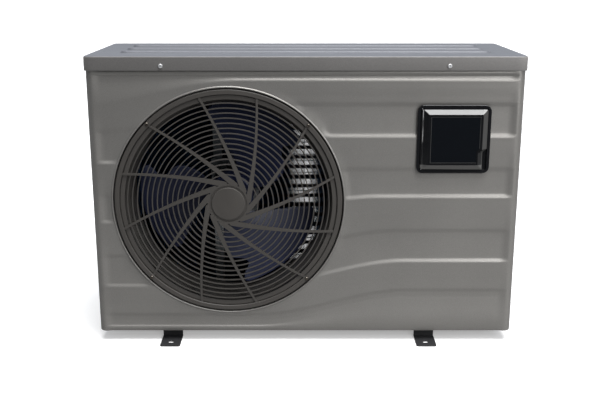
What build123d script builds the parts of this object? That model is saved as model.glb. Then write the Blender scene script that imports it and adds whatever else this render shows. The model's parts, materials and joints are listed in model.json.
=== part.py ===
from build123d import *
import math
import os

os.makedirs("parts", exist_ok=True)

# Pool heat pump unit, in millimetres.
# Frame: origin on the floor at the centre of the four foot slots, +X to the right as
# seen from the front, -Y to the front, +Z up.

# ---- Driving dimensions -------------------------------------------------------------
SHEET = 1.2  # steel sheet of the cabinet
GAP = 0.3  # clearance between separate pieces
guard_depth = 2.4

cabinet_x = 16.0  # cabinet centre, right of the feet's centre
cabinet_width = 955.0
cabinet_front = -171.0
cabinet_back = 171.0
cabinet_left = cabinet_x - cabinet_width / 2
cabinet_right = cabinet_x + cabinet_width / 2
front_radius = 28.0
back_radius = 10.0
panel_joint = -118.0  # plan line where the front panel meets the side panels
foot_height = 25.0
wall_top = 656.5

lid_width = 960.0
lid_depth = 346.0
lid_top = 658.0
lid_flange = 32.0
lid_radius = 9.0
bead_length = 828.0
bead_width = 32.0
bead_height = 3.2
bead_pitch = 80.0

foot_spacing_x = 590.0
foot_spacing_y = 363.0
foot_width = 46.0
foot_sheet = 2.5
foot_tip = 203.5
foot_web = 143.5
slot_length = 14.0
slot_radius = 5.0

fan_x = -156.0
fan_z = 332.0
fan_opening = 258.0
lip_wall = 3.5
blade_count = 3
shaft_radius = 5.0

window_x = 341.0
window_z = 477.0

wave_depth = 4.0
wave_crests = (197.0, 348.0, 485.0, 609.0)
wave_length = 86.0

exchanger_x = 398.0
exchanger_y = 92.0
exchanger_radius = 75.0
union_heights = (120.0, 300.0)

fan_axis = Axis((fan_x, 0, fan_z), (0, 1, 0))
fan_section = Plane(origin=(fan_x, 0, fan_z), z_dir=(0, 0, 1))


# ---- Helpers ------------------------------------------------------------------------
def level(z):
    """Horizontal sketch plane at height z."""
    return Plane.XY.offset(z)


def facing_front(y):
    """Upright sketch plane at y: local x is +X, local y is +Z, its normal is -Y."""
    return Plane.XZ.offset(-y)


def facing_right(x):
    """Upright sketch plane at x: local x is +Y, local y is +Z, its normal is +X."""
    return Plane.YZ.offset(x)


def finish(part, name):
    """Labels a finished piece and writes it."""
    part.part.label = name
    export_step(part.part, f"parts/{name}.step")


def plan_outline(left, right, front, back, front_r, back_r, mode=Mode.ADD):
    """Rounded plan rectangle in the current sketch, with its own front and back radii."""
    with BuildLine() as outline:
        FilletPolyline(
            (left, front),
            (right, front),
            (right, back),
            (left, back),
            radius=[front_r, front_r, back_r, back_r],
            close=True,
        )
    make_face(outline.edges(), mode=mode)


def cabinet_outline(inset, mode=Mode.ADD):
    """Plan outline of the cabinet walls, inset from their outer face."""
    plan_outline(
        cabinet_left + inset,
        cabinet_right - inset,
        cabinet_front + inset,
        cabinet_back - inset,
        front_radius - inset,
        back_radius - inset,
        mode,
    )


def cabinet_wall(x_from, x_to, y_from, y_to):
    """The stretch of cabinet wall inside one plan window, from the foot line to the lid."""
    with BuildSketch(level(foot_height)) as plan:
        cabinet_outline(0)
        cabinet_outline(SHEET, Mode.SUBTRACT)
        with Locations(((x_from + x_to) / 2, (y_from + y_to) / 2)):
            Rectangle(x_to - x_from, y_to - y_from, mode=Mode.INTERSECT)
    extrude(plan.sketch, amount=wall_top - foot_height)


def block(x_from, x_to, y_from, y_to, z_from, z_to, mode=Mode.ADD):
    """Box between two corners, in the current part."""
    centre = ((x_from + x_to) / 2, (y_from + y_to) / 2, (z_from + z_to) / 2)
    with Locations(centre):
        Box(x_to - x_from, y_to - y_from, z_to - z_from, mode=mode)


def upright(x, y, z_from, z_to, radius, mode=Mode.ADD):
    """Vertical cylinder in the current part."""
    with Locations((x, y, (z_from + z_to) / 2)):
        Cylinder(radius, z_to - z_from, mode=mode)


def crosswise(x_from, x_to, y, z, radius, mode=Mode.ADD):
    """Cylinder along X in the current part."""
    with Locations(((x_from + x_to) / 2, y, z)):
        Cylinder(radius, x_to - x_from, rotation=(0, 90, 0), mode=mode)


def endwise(x, y_from, y_to, z, radius, mode=Mode.ADD):
    """Cylinder along Y in the current part."""
    with Locations((x, (y_from + y_to) / 2, z)):
        Cylinder(radius, y_to - y_from, rotation=(90, 0, 0), mode=mode)


def pan_screw(seat, head_radius, shank_radius, shank_length):
    """Cross-head pan screw whose head stands on a seat plane, shank going into it."""
    with BuildSketch(seat) as rim:
        Circle(head_radius)
    extrude(rim.sketch, amount=head_radius * 0.32)
    with BuildSketch(seat.offset(head_radius * 0.32)) as crown:
        Circle(head_radius)
    extrude(crown.sketch, amount=head_radius * 0.28, taper=42)
    with BuildSketch(seat) as shank:
        Circle(shank_radius)
    extrude(shank.sketch, amount=-shank_length)
    with BuildSketch(seat.offset(head_radius * 0.6)) as cross:
        Rectangle(head_radius * 1.1, head_radius * 0.2)
        Rectangle(head_radius * 0.2, head_radius * 1.1)
    extrude(cross.sketch, amount=-head_radius * 0.35, mode=Mode.SUBTRACT)


def screw_hole(seat, radius, depth):
    """Clearance hole for a screw, both ways from its seat plane."""
    with BuildSketch(seat) as hole:
        Circle(radius)
    extrude(hole.sketch, amount=depth, both=True, mode=Mode.SUBTRACT)


def tube_run(points, bend, radius):
    """Bent round tube through the points, in the current part."""
    with BuildLine() as run:
        if len(points) > 2:
            FilletPolyline(*points, radius=bend)
        else:
            Line(*points)
    start = run.line @ 0
    heading = run.line % 0
    with BuildSketch(Plane(origin=start, z_dir=heading)) as section:
        Circle(radius)
    sweep(section.sketch, path=run.line)


# ---- Screw seats shared by the panels and the screws that hold them -------------------
lid_screw_z = 637.0
lid_seats = [
    Plane(origin=(x, y, lid_screw_z), z_dir=(0, math.copysign(1, y), 0))
    for x in (cabinet_x - 312, cabinet_x + 310)
    for y in (-lid_depth / 2, lid_depth / 2)
] + [
    Plane(origin=(cabinet_x + side * lid_width / 2, 60, lid_screw_z), z_dir=(side, 0, 0))
    for side in (-1, 1)
]
side_seats = {
    side: [
        Plane(
            origin=(cabinet_x + side * cabinet_width / 2, y, z),
            z_dir=(side, 0, 0),
        )
        for y in (-135, 148)
        for z in (62, 330, 600)
    ]
    for side in (-1, 1)
}
rear_seats = [
    Plane(origin=(x, cabinet_back, z), z_dir=(0, 1, 0))
    for x in (186, 470)
    for z in (62, 330, 600)
]

# ---- Base and feet --------------------------------------------------------------------
pan_front = cabinet_front + wave_depth + SHEET + 1.2
with BuildPart() as base_pan:
    for inset, lift, mode in ((0, 0, Mode.ADD), (SHEET, SHEET, Mode.SUBTRACT)):
        with BuildSketch(level(foot_height + lift)):
            plan_outline(
                cabinet_left + SHEET + GAP + inset,
                cabinet_right - SHEET - GAP - inset,
                pan_front + inset,
                cabinet_back - guard_depth - GAP - inset,
                front_radius - 2 - inset,
                back_radius - 2 - inset,
            )
        extrude(amount=22.0, mode=mode)
    for x in (-foot_spacing_x / 2, foot_spacing_x / 2):
        for y in (-110, 110):
            upright(x, y, foot_height - 1, foot_height + 3, 4.2, Mode.SUBTRACT)
    upright(-60, 150, foot_height - 1, foot_height + 3, 9.0, Mode.SUBTRACT)
finish(base_pan, "base_pan")

for side, rail_name in ((-1, "foot_rail_left"), (1, "foot_rail_right")):
    rail_x = side * foot_spacing_x / 2
    with BuildPart() as foot_rail:
        with BuildSketch(facing_right(rail_x - foot_width / 2)):
            with BuildLine():
                Polyline(
                    (-foot_tip, 0),
                    (-foot_web + foot_sheet, 0),
                    (-foot_web + foot_sheet, foot_height - foot_sheet),
                    (foot_web - foot_sheet, foot_height - foot_sheet),
                    (foot_web - foot_sheet, 0),
                    (foot_tip, 0),
                    (foot_tip, foot_sheet),
                    (foot_web, foot_sheet),
                    (foot_web, foot_height),
                    (-foot_web, foot_height),
                    (-foot_web, foot_sheet),
                    (-foot_tip, foot_sheet),
                    close=True,
                )
            make_face()
        extrude(amount=foot_width)
        tips = foot_rail.edges().filter_by(Axis.Z).filter_by_position(
            Axis.Y, foot_tip - 1, foot_tip + 1
        ) + foot_rail.edges().filter_by(Axis.Z).filter_by_position(
            Axis.Y, -foot_tip - 1, -foot_tip + 1
        )
        fillet(tips, radius=5)
        outer_bends = foot_rail.edges().filter_by(Axis.X).group_by(Axis.Z)[-1]
        fillet(outer_bends, radius=2.2)
        with BuildSketch(level(0)):
            for y in (-foot_spacing_y / 2, foot_spacing_y / 2):
                with Locations((rail_x, y)):
                    SlotOverall(slot_length, 2 * slot_radius)
        extrude(amount=foot_sheet, mode=Mode.SUBTRACT)
        for y in (-110, 110):
            upright(rail_x, y, foot_height - 4, foot_height + 1, 4.2, Mode.SUBTRACT)
    finish(foot_rail, rail_name)

with BuildPart() as foot_bolts:
    for x in (-foot_spacing_x / 2, foot_spacing_x / 2):
        for y in (-110, 110):
            pan_floor = foot_height + SHEET
            upright(x, y, foot_height - 14, pan_floor, 4.0)
            with BuildSketch(level(pan_floor)):
                with Locations((x, y)):
                    RegularPolygon(7.4, 6)
            extrude(amount=5)
            with BuildSketch(level(foot_height - foot_sheet)):
                with Locations((x, y)):
                    RegularPolygon(7.4, 6)
            extrude(amount=-6)
finish(foot_bolts, "foot_bolts")

# ---- Front panel: corner columns, pressed waves, fan lip and controller window ----------
flat_left = cabinet_left + front_radius
flat_right = cabinet_right - front_radius
wave_skin = 1.5
wave_trough = cabinet_front + wave_depth


def wave_profile(setback):
    """Wave outline from bottom to top: each wave swells outwards, then steps back in."""
    points = [(wave_trough + setback, foot_height)]
    for crest in wave_crests:
        points.append((wave_trough + setback, crest - wave_length + 2))
        points.append((cabinet_front + setback, crest - 2))
        points.append((wave_trough + setback, crest + 2))
    points.append((wave_trough + setback, wall_top))
    return points


with BuildPart() as front_panel:
    cabinet_wall(cabinet_left - 5, cabinet_right + 5, cabinet_front - 5, panel_joint)
    block(
        flat_left + wave_skin,
        flat_right - wave_skin,
        cabinet_front - 1,
        cabinet_front + 2,
        foot_height - 1,
        wall_top + 1,
        Mode.SUBTRACT,
    )
    with BuildSketch(facing_right(flat_left)):
        with BuildLine():
            Polyline(*wave_profile(0), *reversed(wave_profile(wave_skin)), close=True)
        make_face()
    extrude(amount=flat_right - flat_left)
    for web_from in (flat_left, flat_right - wave_skin):
        block(
            web_from,
            web_from + wave_skin,
            cabinet_front,
            wave_trough + wave_skin,
            foot_height,
            wall_top,
        )
    with BuildSketch(facing_front(cabinet_front - 1.5)):
        with Locations((fan_x, fan_z)):
            Circle(fan_opening + lip_wall)
    extrude(amount=-14.5)
    with BuildSketch(facing_front(cabinet_front - 1.5)):
        with Locations((fan_x, fan_z)):
            Circle(fan_opening)
    extrude(amount=-20, mode=Mode.SUBTRACT)
    with BuildSketch(facing_front(cabinet_front - 5)):
        with Locations((window_x, window_z)):
            RectangleRounded(152, 140, 9)
    extrude(amount=-15, mode=Mode.SUBTRACT)
    for seat in lid_seats + side_seats[-1] + side_seats[1]:
        screw_hole(seat, 2.2, 9)
finish(front_panel, "front_panel")

# ---- Side and rear panels ---------------------------------------------------------------
side_opening_z = (60.0, 560.0)
handle_z = 604.0
handle_y = 30.0
guard_rear_right = 170.0
guard_rear_left = cabinet_left + 27

with BuildPart() as left_side_panel:
    cabinet_wall(cabinet_left - 5, guard_rear_left, panel_joint + GAP, cabinet_back + 5)
    block(cabinet_left - 2, cabinet_left + 5, -98, 130, *side_opening_z, Mode.SUBTRACT)
    block(cabinet_left - 2, cabinet_left + 5, handle_y - 54, handle_y + 54, handle_z - 15,
          handle_z + 15, Mode.SUBTRACT)
    for seat in lid_seats + side_seats[-1]:
        screw_hole(seat, 2.2, 9)
finish(left_side_panel, "left_side_panel")

gland_places = ((10.0, 405.0), (46.0, 405.0))
gauge_place = (-60.0, 370.0)
with BuildPart() as right_side_panel:
    cabinet_wall(cabinet_right - 5, cabinet_right + 5, panel_joint + GAP, 160)
    block(cabinet_right - 5, cabinet_right + 5, -88, 48, 440, 570, Mode.SUBTRACT)
    block(cabinet_right - 5, cabinet_right + 5, handle_y - 54, handle_y + 54, handle_z - 15,
          handle_z + 15, Mode.SUBTRACT)
    for height in union_heights:
        crosswise(cabinet_right - 5, cabinet_right + 5, exchanger_y, height, 34, Mode.SUBTRACT)
    for y, z in gland_places:
        crosswise(cabinet_right - 5, cabinet_right + 5, y, z, 9.3, Mode.SUBTRACT)
    crosswise(cabinet_right - 5, cabinet_right + 5, *gauge_place, 21.5, Mode.SUBTRACT)
    for seat in lid_seats + side_seats[1]:
        screw_hole(seat, 2.2, 9)
finish(right_side_panel, "right_side_panel")

with BuildPart() as rear_panel:
    cabinet_wall(guard_rear_right + GAP, cabinet_right + 5, 160 + GAP, cabinet_back + 5)
    for z in range(90, 250, 16):
        with BuildSketch(facing_front(cabinet_back + 3)):
            with Locations((330, z)):
                SlotOverall(150, 5)
        extrude(amount=8, mode=Mode.SUBTRACT)
    for seat in lid_seats + rear_seats:
        screw_hole(seat, 2.2, 9)
finish(rear_panel, "rear_panel")

with BuildPart() as service_cover:
    block(cabinet_right + GAP, cabinet_right + 2.2, -98, 58, 430, 580)
    fillet(service_cover.edges().filter_by(Axis.X), radius=6)
    block(cabinet_right - 8, cabinet_right + GAP, -86, 46, 442, 568)
    block(cabinet_right - 9, cabinet_right + 1, -84.5, 44.5, 443.5, 566.5, Mode.SUBTRACT)
    for y in (-93, 53):
        for z in (436, 574):
            screw_hole(Plane(origin=(cabinet_right, y, z), z_dir=(1, 0, 0)), 1.8, 4)
finish(service_cover, "service_cover")

for side, handle_name in ((-1, "carry_handle_left"), (1, "carry_handle_right")):
    wall_x = cabinet_x + side * cabinet_width / 2
    seat = Plane(origin=(wall_x + side * GAP, handle_y, handle_z), x_dir=(0, 1, 0),
                 z_dir=(side, 0, 0))
    with BuildPart() as carry_handle:
        with BuildSketch(seat):
            RectangleRounded(124, 39, 8)
        extrude(amount=1.8)
        with BuildSketch(seat):
            RectangleRounded(107, 29, 6)
        extrude(amount=-25)
        with BuildSketch(seat.offset(1.8)):
            RectangleRounded(102, 24, 4)
        extrude(amount=-24.8, mode=Mode.SUBTRACT)
    finish(carry_handle, handle_name)

# ---- Coil guards: a frame filled with square-section bars ---------------------------------
guard_bar = 2.4


def guard_grid(plane, width, height, depth, across, up):
    """Flat guard in the current part: frame and bars, centred on its plane."""
    with BuildSketch(plane) as grid:
        Rectangle(width, height)
        Rectangle(width - 16, height - 16, mode=Mode.SUBTRACT)
        for step in range(1, up):
            with Locations((0, -height / 2 + 8 + step * (height - 16) / up)):
                Rectangle(width - 14, guard_bar)
        for step in range(1, across):
            with Locations((-width / 2 + 8 + step * (width - 16) / across, 0)):
                Rectangle(guard_bar, height - 14)
    extrude(grid.sketch, amount=depth)


with BuildPart() as left_coil_guard:
    low, high = side_opening_z
    middle = Plane(
        origin=(cabinet_left - 0.6, 16, (low + high) / 2), x_dir=(0, 1, 0), z_dir=(1, 0, 0)
    )
    guard_grid(middle, 226.5, high - low - 1.5, 3.0, 5, 30)
finish(left_coil_guard, "left_coil_guard")

guard_low = foot_height + 0.5
with BuildPart() as rear_coil_guard:
    guard_width = guard_rear_right - guard_rear_left - 2 * GAP
    middle = Plane(
        origin=((guard_rear_left + guard_rear_right) / 2, cabinet_back,
                (guard_low + wall_top) / 2),
        x_dir=(1, 0, 0),
        z_dir=(0, -1, 0),
    )
    guard_grid(middle, guard_width, wall_top - guard_low, guard_depth, 12, 38)
    for seat in lid_seats:
        screw_hole(seat, 2.2, 9)
finish(rear_coil_guard, "rear_coil_guard")

# ---- Lid ------------------------------------------------------------------------------------
with BuildPart() as lid:
    with BuildSketch(level(lid_top - lid_flange)):
        with Locations((cabinet_x, 0)):
            RectangleRounded(lid_width, lid_depth, lid_radius)
    extrude(amount=lid_flange)
    fillet(lid.faces().sort_by(Axis.Z)[-1].edges(), radius=3)
    with BuildSketch(level(lid_top - lid_flange)):
        with Locations((cabinet_x, 0)):
            RectangleRounded(lid_width - 2 * SHEET, lid_depth - 2 * SHEET, lid_radius - SHEET)
    extrude(amount=lid_flange - SHEET, mode=Mode.SUBTRACT)
    with BuildSketch(level(lid_top)):
        for row in (-1, 0, 1):
            with Locations((cabinet_x, row * bead_pitch)):
                SlotOverall(bead_length, bead_width)
    extrude(amount=bead_height, taper=48)
    for seat in lid_seats:
        screw_hole(seat, 2.2, 4)
finish(lid, "lid")

with BuildPart() as lid_screws:
    for seat in lid_seats:
        pan_screw(seat, 4.8, 1.9, 7)
finish(lid_screws, "lid_screws")

with BuildPart() as panel_screws:
    for seat in side_seats[-1] + side_seats[1] + rear_seats:
        pan_screw(seat, 4.2, 1.9, 7)
    for y in (-93, 53):
        for z in (436, 574):
            cover_face = cabinet_right + 2.2
            pan_screw(Plane(origin=(cover_face, y, z), z_dir=(1, 0, 0)), 3.4, 1.5, 1.7)
finish(panel_screws, "panel_screws")

# ---- Fan grille: domed rings and swept spokes inside a stepped frame --------------------------
dome_height = 7.0
dome_radius = 244.5
bar_depth = 4.6
frame_outer = 254.6
ledge_inner = 232.0
groove_inner = 241.6
spoke_count = 12
spoke_turn = 14.4
ring_width = 2.3
first_ring = 66.0
ring_pitch = 11.85
ring_count = 15
hub_radius = 46.0
slot_end_radius = 4.0
cap_radius = 37.0
frame_body = 245.4
grille_screw_radius = 250.0

# centre line of a spoke: its distance from the axis, the angle it lags behind its outer
# end, and its width there
spoke_stations = ((245.5, 0.0, 4.8), (143.5, 10.1, 6.2), (43.5, 71.2, 13.0))


def dome_face(radius):
    """Y of the grille's front surface at a distance from its axis."""
    return cabinet_front - dome_height * (1 - (radius / dome_radius) ** 2)


def spoke_edge(turn, side):
    """Three points along one edge of the spoke that ends at this angle."""
    centre = [
        (reach * math.cos(math.radians(turn - lag)), reach * math.sin(math.radians(turn - lag)))
        for reach, lag, width in spoke_stations
    ]
    run_x = centre[2][0] - centre[0][0]
    run_z = centre[2][1] - centre[0][1]
    run = math.hypot(run_x, run_z)
    return [
        (x - side * width / 2 * run_z / run, z + side * width / 2 * run_x / run)
        for (x, z), (reach, lag, width) in zip(centre, spoke_stations)
    ]


with BuildPart() as fan_grille:
    fan_plane = Plane(
        origin=(fan_x, cabinet_front + 8, fan_z), x_dir=(1, 0, 0), z_dir=(0, -1, 0)
    )
    with BuildSketch(fan_plane) as spokes:
        Circle(hub_radius)
        for spoke in range(spoke_count):
            turn = spoke_turn + spoke * 360 / spoke_count
            upper = spoke_edge(turn, 1)
            lower = spoke_edge(turn, -1)
            with BuildLine():
                ThreePointArc(*upper)
                Line(upper[2], lower[2])
                ThreePointArc(*lower)
                Line(lower[0], upper[0])
            make_face()
        slot_corners = [
            corner
            for corner in spokes.vertices()
            if hub_radius + 0.3 < math.hypot(corner.X, corner.Y) < hub_radius + 8
        ]
        fillet(slot_corners, radius=slot_end_radius)
    extrude(amount=20)
    with BuildSketch(fan_section):
        with BuildLine():
            hub_face = dome_face(hub_radius)
            middle = (hub_radius + dome_radius) / 2
            Line((0, hub_face), (hub_radius, hub_face))
            ThreePointArc((hub_radius, hub_face), (middle, dome_face(middle)),
                          (dome_radius, cabinet_front))
            Line((dome_radius, cabinet_front), (dome_radius, cabinet_front + bar_depth))
            ThreePointArc((dome_radius, cabinet_front + bar_depth),
                          (middle, dome_face(middle) + bar_depth),
                          (hub_radius, hub_face + bar_depth))
            Polyline((hub_radius, hub_face + bar_depth), (0, hub_face + bar_depth),
                     (0, hub_face))
        make_face()
    revolve(axis=fan_axis, mode=Mode.INTERSECT)
    with BuildSketch(fan_section):
        for ring in range(ring_count):
            radius = first_ring + ring * ring_pitch - 0.035 * ring**2
            with Locations((radius, dome_face(radius) + bar_depth / 2)):
                Rectangle(ring_width, bar_depth - 0.8)
        with BuildLine():
            Polyline(
                (ledge_inner, -161),
                (ledge_inner, -167.6),
                (ledge_inner + 0.8, -168.4),
                (groove_inner, -168.4),
                (groove_inner, -165.6),
                (dome_radius - 0.7, -165.6),
                (dome_radius - 0.7, -171.2),
                (dome_radius + 0.1, -172),
                (frame_outer - 1.4, -172),
                (frame_outer, -170.6),
                (frame_outer, -167),
                (frame_body, -167),
                (frame_body, -161),
                close=True,
            )
        make_face()
    revolve(axis=fan_axis)
    endwise(fan_x, hub_face - 1, hub_face + 1.6, fan_z, cap_radius + 5, Mode.SUBTRACT)
    for screw in range(4):
        angle = math.radians(44.5 + 90 * screw)
        spot_x = fan_x + grille_screw_radius * math.cos(angle)
        spot_z = fan_z + grille_screw_radius * math.sin(angle)
        endwise(spot_x, -175, -165, spot_z, 2.2, Mode.SUBTRACT)
finish(fan_grille, "fan_grille")

with BuildPart() as grille_hub_cap:
    endwise(fan_x, hub_face - 1.4, hub_face + 1.6, fan_z, cap_radius)
    fillet(grille_hub_cap.faces().sort_by(Axis.Y)[0].edges(), radius=1.2)
finish(grille_hub_cap, "grille_hub_cap")

with BuildPart() as grille_screws:
    for screw in range(4):
        angle = math.radians(44.5 + 90 * screw)
        spot = (
            fan_x + grille_screw_radius * math.cos(angle),
            -172,
            fan_z + grille_screw_radius * math.sin(angle),
        )
        pan_screw(Plane(origin=spot, z_dir=(0, -1, 0)), 4.0, 1.9, 8)
finish(grille_screws, "grille_screws")

# ---- Shroud, motor and fan -----------------------------------------------------------------
with BuildPart() as fan_shroud:
    with BuildSketch(fan_section):
        with BuildLine():
            Polyline((275, -157.7), (275, -155.5), (254.5, -155.5))
            ThreePointArc((254.5, -155.5), (233, -147), (224.2, -126))
            Polyline((224.2, -126), (224.2, -72), (222, -72), (222, -126))
            ThreePointArc((222, -126), (231, -148.8), (253, -157.7))
            Line((253, -157.7), (275, -157.7))
        make_face()
    revolve(axis=fan_axis)
    for screw in range(4):
        angle = math.radians(44.5 + 90 * screw)
        boss_x = fan_x + grille_screw_radius * math.cos(angle)
        boss_z = fan_z + grille_screw_radius * math.sin(angle)
        endwise(boss_x, -166.7, -155.6, boss_z, 4.1)
        endwise(boss_x, -168, -160, boss_z, 1.95, Mode.SUBTRACT)
finish(fan_shroud, "fan_shroud")

motor_front = -38.0
motor_back = 42.0
with BuildPart() as motor_housing:
    endwise(fan_x, motor_front, motor_back, fan_z, 50)
    fillet(motor_housing.faces().sort_by(Axis.Y)[0].edges(), radius=8)
    endwise(fan_x, motor_front + 12, motor_back - 12, fan_z, 46, Mode.SUBTRACT)
    endwise(fan_x, motor_front - 1, motor_front + 6, fan_z, 7, Mode.SUBTRACT)
    endwise(fan_x, motor_front + 4, motor_back - 4, fan_z, 13, Mode.SUBTRACT)
    for rib in range(12):
        angle = math.radians(15 + 30 * rib)
        rib_x = fan_x + 51 * math.cos(angle)
        rib_z = fan_z + 51 * math.sin(angle)
        endwise(rib_x, motor_front + 14, motor_back - 4, rib_z, 2.2)
finish(motor_housing, "motor_housing")

with BuildPart() as motor_bearings:
    for y_from in (motor_front + 4, motor_back - 12):
        endwise(fan_x, y_from, y_from + 8, fan_z, 13)
        endwise(fan_x, y_from, y_from + 8, fan_z, shaft_radius + 0.05, Mode.SUBTRACT)
finish(motor_bearings, "motor_bearings")

hub_front = -112.0
hub_back = -60.0
with BuildPart() as rotor_shaft:
    endwise(fan_x, hub_front - 14, motor_back - 5, fan_z, shaft_radius)
    endwise(fan_x, motor_front + 14, motor_back - 14, fan_z, 42)
finish(rotor_shaft, "rotor_shaft")

with BuildPart() as motor_bracket:
    for side in (-1, 1):
        rail = fan_x + side * 42
        block(rail - 11, rail + 11, motor_back + 2, motor_back + 14, foot_height + SHEET, 640)
        block(rail - 9, rail + 9, motor_back + 4, motor_back + 15, foot_height, 641, Mode.SUBTRACT)
    block(fan_x - 58, fan_x + 58, motor_back, motor_back + 2, fan_z - 58, fan_z + 58)
    block(fan_x - 53, fan_x + 53, motor_back + 2, motor_back + 14, 640, 642)
    block(fan_x - 60, fan_x + 60, motor_back + 2, motor_back + 30, foot_height + SHEET,
          foot_height + SHEET + 2)
finish(motor_bracket, "motor_bracket")

blade_pitch = 24.0
with BuildPart() as fan_blades:
    endwise(fan_x, hub_front, hub_back, fan_z, 52)
    fillet(fan_blades.faces().sort_by(Axis.Y)[0].edges(), radius=6)
    for blade in range(blade_count):
        turn = math.radians(302 + blade * 360 / blade_count)
        outward = (math.cos(turn), 0, math.sin(turn))
        pitch = math.radians(blade_pitch)
        face_normal = (
            -math.sin(pitch) * math.sin(turn),
            -math.cos(pitch),
            math.sin(pitch) * math.cos(turn),
        )
        root = (fan_x, (hub_front + hub_back) / 2, fan_z)
        with BuildSketch(Plane(origin=root, x_dir=outward, z_dir=face_normal)):
            with BuildLine():
                ThreePointArc((38, 26), (104, 112), (150, 142))
                ThreePointArc((150, 142), (206, 34), (196, -72))
                ThreePointArc((196, -72), (118, -40), (38, -26))
                Line((38, -26), (38, 26))
            make_face()
        extrude(amount=1.4, both=True)
    endwise(fan_x, hub_front + 5, hub_back + 1, fan_z, 48, Mode.SUBTRACT)
    endwise(fan_x, hub_front + 4, hub_back, fan_z, 13)
    endwise(fan_x, hub_front - 1, hub_back + 1, fan_z, shaft_radius, Mode.SUBTRACT)
finish(fan_blades, "fan_blades")

with BuildPart() as fan_nut:
    with BuildSketch(facing_front(hub_front)):
        with Locations((fan_x, fan_z)):
            RegularPolygon(9.5, 6)
            Circle(shaft_radius + 0.05, mode=Mode.SUBTRACT)
    extrude(amount=8)
finish(fan_nut, "fan_nut")

# ---- Controller: bezel, hinged cover, display and buttons ------------------------------------
bezel_face = cabinet_front - 3.5
cover_back = -169.5
hinge_x = window_x - 70.2
hinge_y = -172.3
cover_half_width = 73.0
cover_half_height = 67.0
notch_x = window_x + 64
notch_z = window_z - 27


def notched(left, right, bottom, top, cut_x, cut_z):
    """Rectangle with a finger notch cut from its lower right corner, in a sketch."""
    with BuildLine() as outline:
        Polyline(
            (left, bottom),
            (cut_x, bottom),
            (cut_x, cut_z),
            (right, cut_z + 7),
            (right, top),
            (left, top),
            close=True,
        )
    make_face(outline.edges())


with BuildPart() as controller_bezel:
    with BuildSketch(facing_front(cabinet_front - GAP)):
        with Locations((window_x, window_z)):
            RectangleRounded(161, 151.7, 14)
    extrude(amount=3.2)
    fillet(controller_bezel.faces().sort_by(Axis.Y)[0].edges(), radius=1.6)
    with BuildSketch(facing_front(cabinet_front - GAP)):
        with Locations((window_x, window_z)):
            RectangleRounded(151.4, 139.4, 8.7)
    extrude(amount=-16)
    with BuildSketch(facing_front(bezel_face - 1)):
        with Locations((window_x, window_z)):
            RectangleRounded(148, 136, 3)
    extrude(amount=-6.3, mode=Mode.SUBTRACT)
    with BuildSketch(facing_front(bezel_face - 1)):
        with Locations((window_x, window_z)):
            RectangleRounded(132, 120, 5)
    extrude(amount=-30, mode=Mode.SUBTRACT)
    upright(hinge_x, hinge_y, window_z - 71.6, window_z + 71.6, 1.05, Mode.SUBTRACT)
finish(controller_bezel, "controller_bezel")

with BuildPart() as controller_cover:
    with BuildSketch(facing_front(cover_back)):
        notched(hinge_x, window_x + cover_half_width, window_z - cover_half_height,
                window_z + cover_half_height, notch_x, notch_z)
    extrude(amount=5.8)
    upright(hinge_x, hinge_y, window_z - cover_half_height, window_z + cover_half_height, 2.8)
    with BuildSketch(facing_front(cover_back - 5.8)) as bevel_base:
        notched(hinge_x + 3.2, window_x + cover_half_width - 1,
                window_z - cover_half_height + 1, window_z + cover_half_height - 1,
                notch_x - 1, notch_z + 0.6)
    with BuildSketch(facing_front(cover_back - 13)) as bevel_top:
        notched(window_x - 56, window_x + 61, window_z - 56, window_z + 56,
                notch_x - 11, notch_z - 2)
    loft()
    with BuildSketch(facing_front(cover_back + 1)):
        with Locations((window_x, window_z)):
            RectangleRounded(2 * cover_half_width, 2 * cover_half_height, 6)
    extrude(amount=20, mode=Mode.INTERSECT)
    with BuildSketch(facing_front(cover_back - 14)):
        notched(window_x - 52, window_x + 57, window_z - 51.5, window_z + 51.5,
                notch_x - 14.5, notch_z + 1.5)
    extrude(amount=-3.6, mode=Mode.SUBTRACT)
    with BuildSketch(facing_front(cover_back - 14)):
        notched(window_x - 49, window_x + 54, window_z - 48.5, window_z + 48.5,
                notch_x - 17.5, notch_z + 4.5)
    extrude(amount=-20, mode=Mode.SUBTRACT)
    upright(hinge_x, hinge_y, window_z + 60, window_z + 70, 1.0, Mode.SUBTRACT)
    upright(hinge_x, hinge_y, window_z - 70, window_z - 60, 1.0, Mode.SUBTRACT)
finish(controller_cover, "controller_cover")

with BuildPart() as cover_window:
    with BuildSketch(facing_front(cover_back - 12.4)):
        notched(window_x - 51.9, window_x + 56.9, window_z - 51.4, window_z + 51.4,
                notch_x - 14.6, notch_z + 1.6)
    extrude(amount=-2.0)
finish(cover_window, "cover_window")

with BuildPart() as cover_pins:
    upright(hinge_x, hinge_y, window_z + 60, window_z + 71.3, 1.0)
    upright(hinge_x, hinge_y, window_z - 71.3, window_z - 60, 1.0)
finish(cover_pins, "cover_pins")

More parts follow.
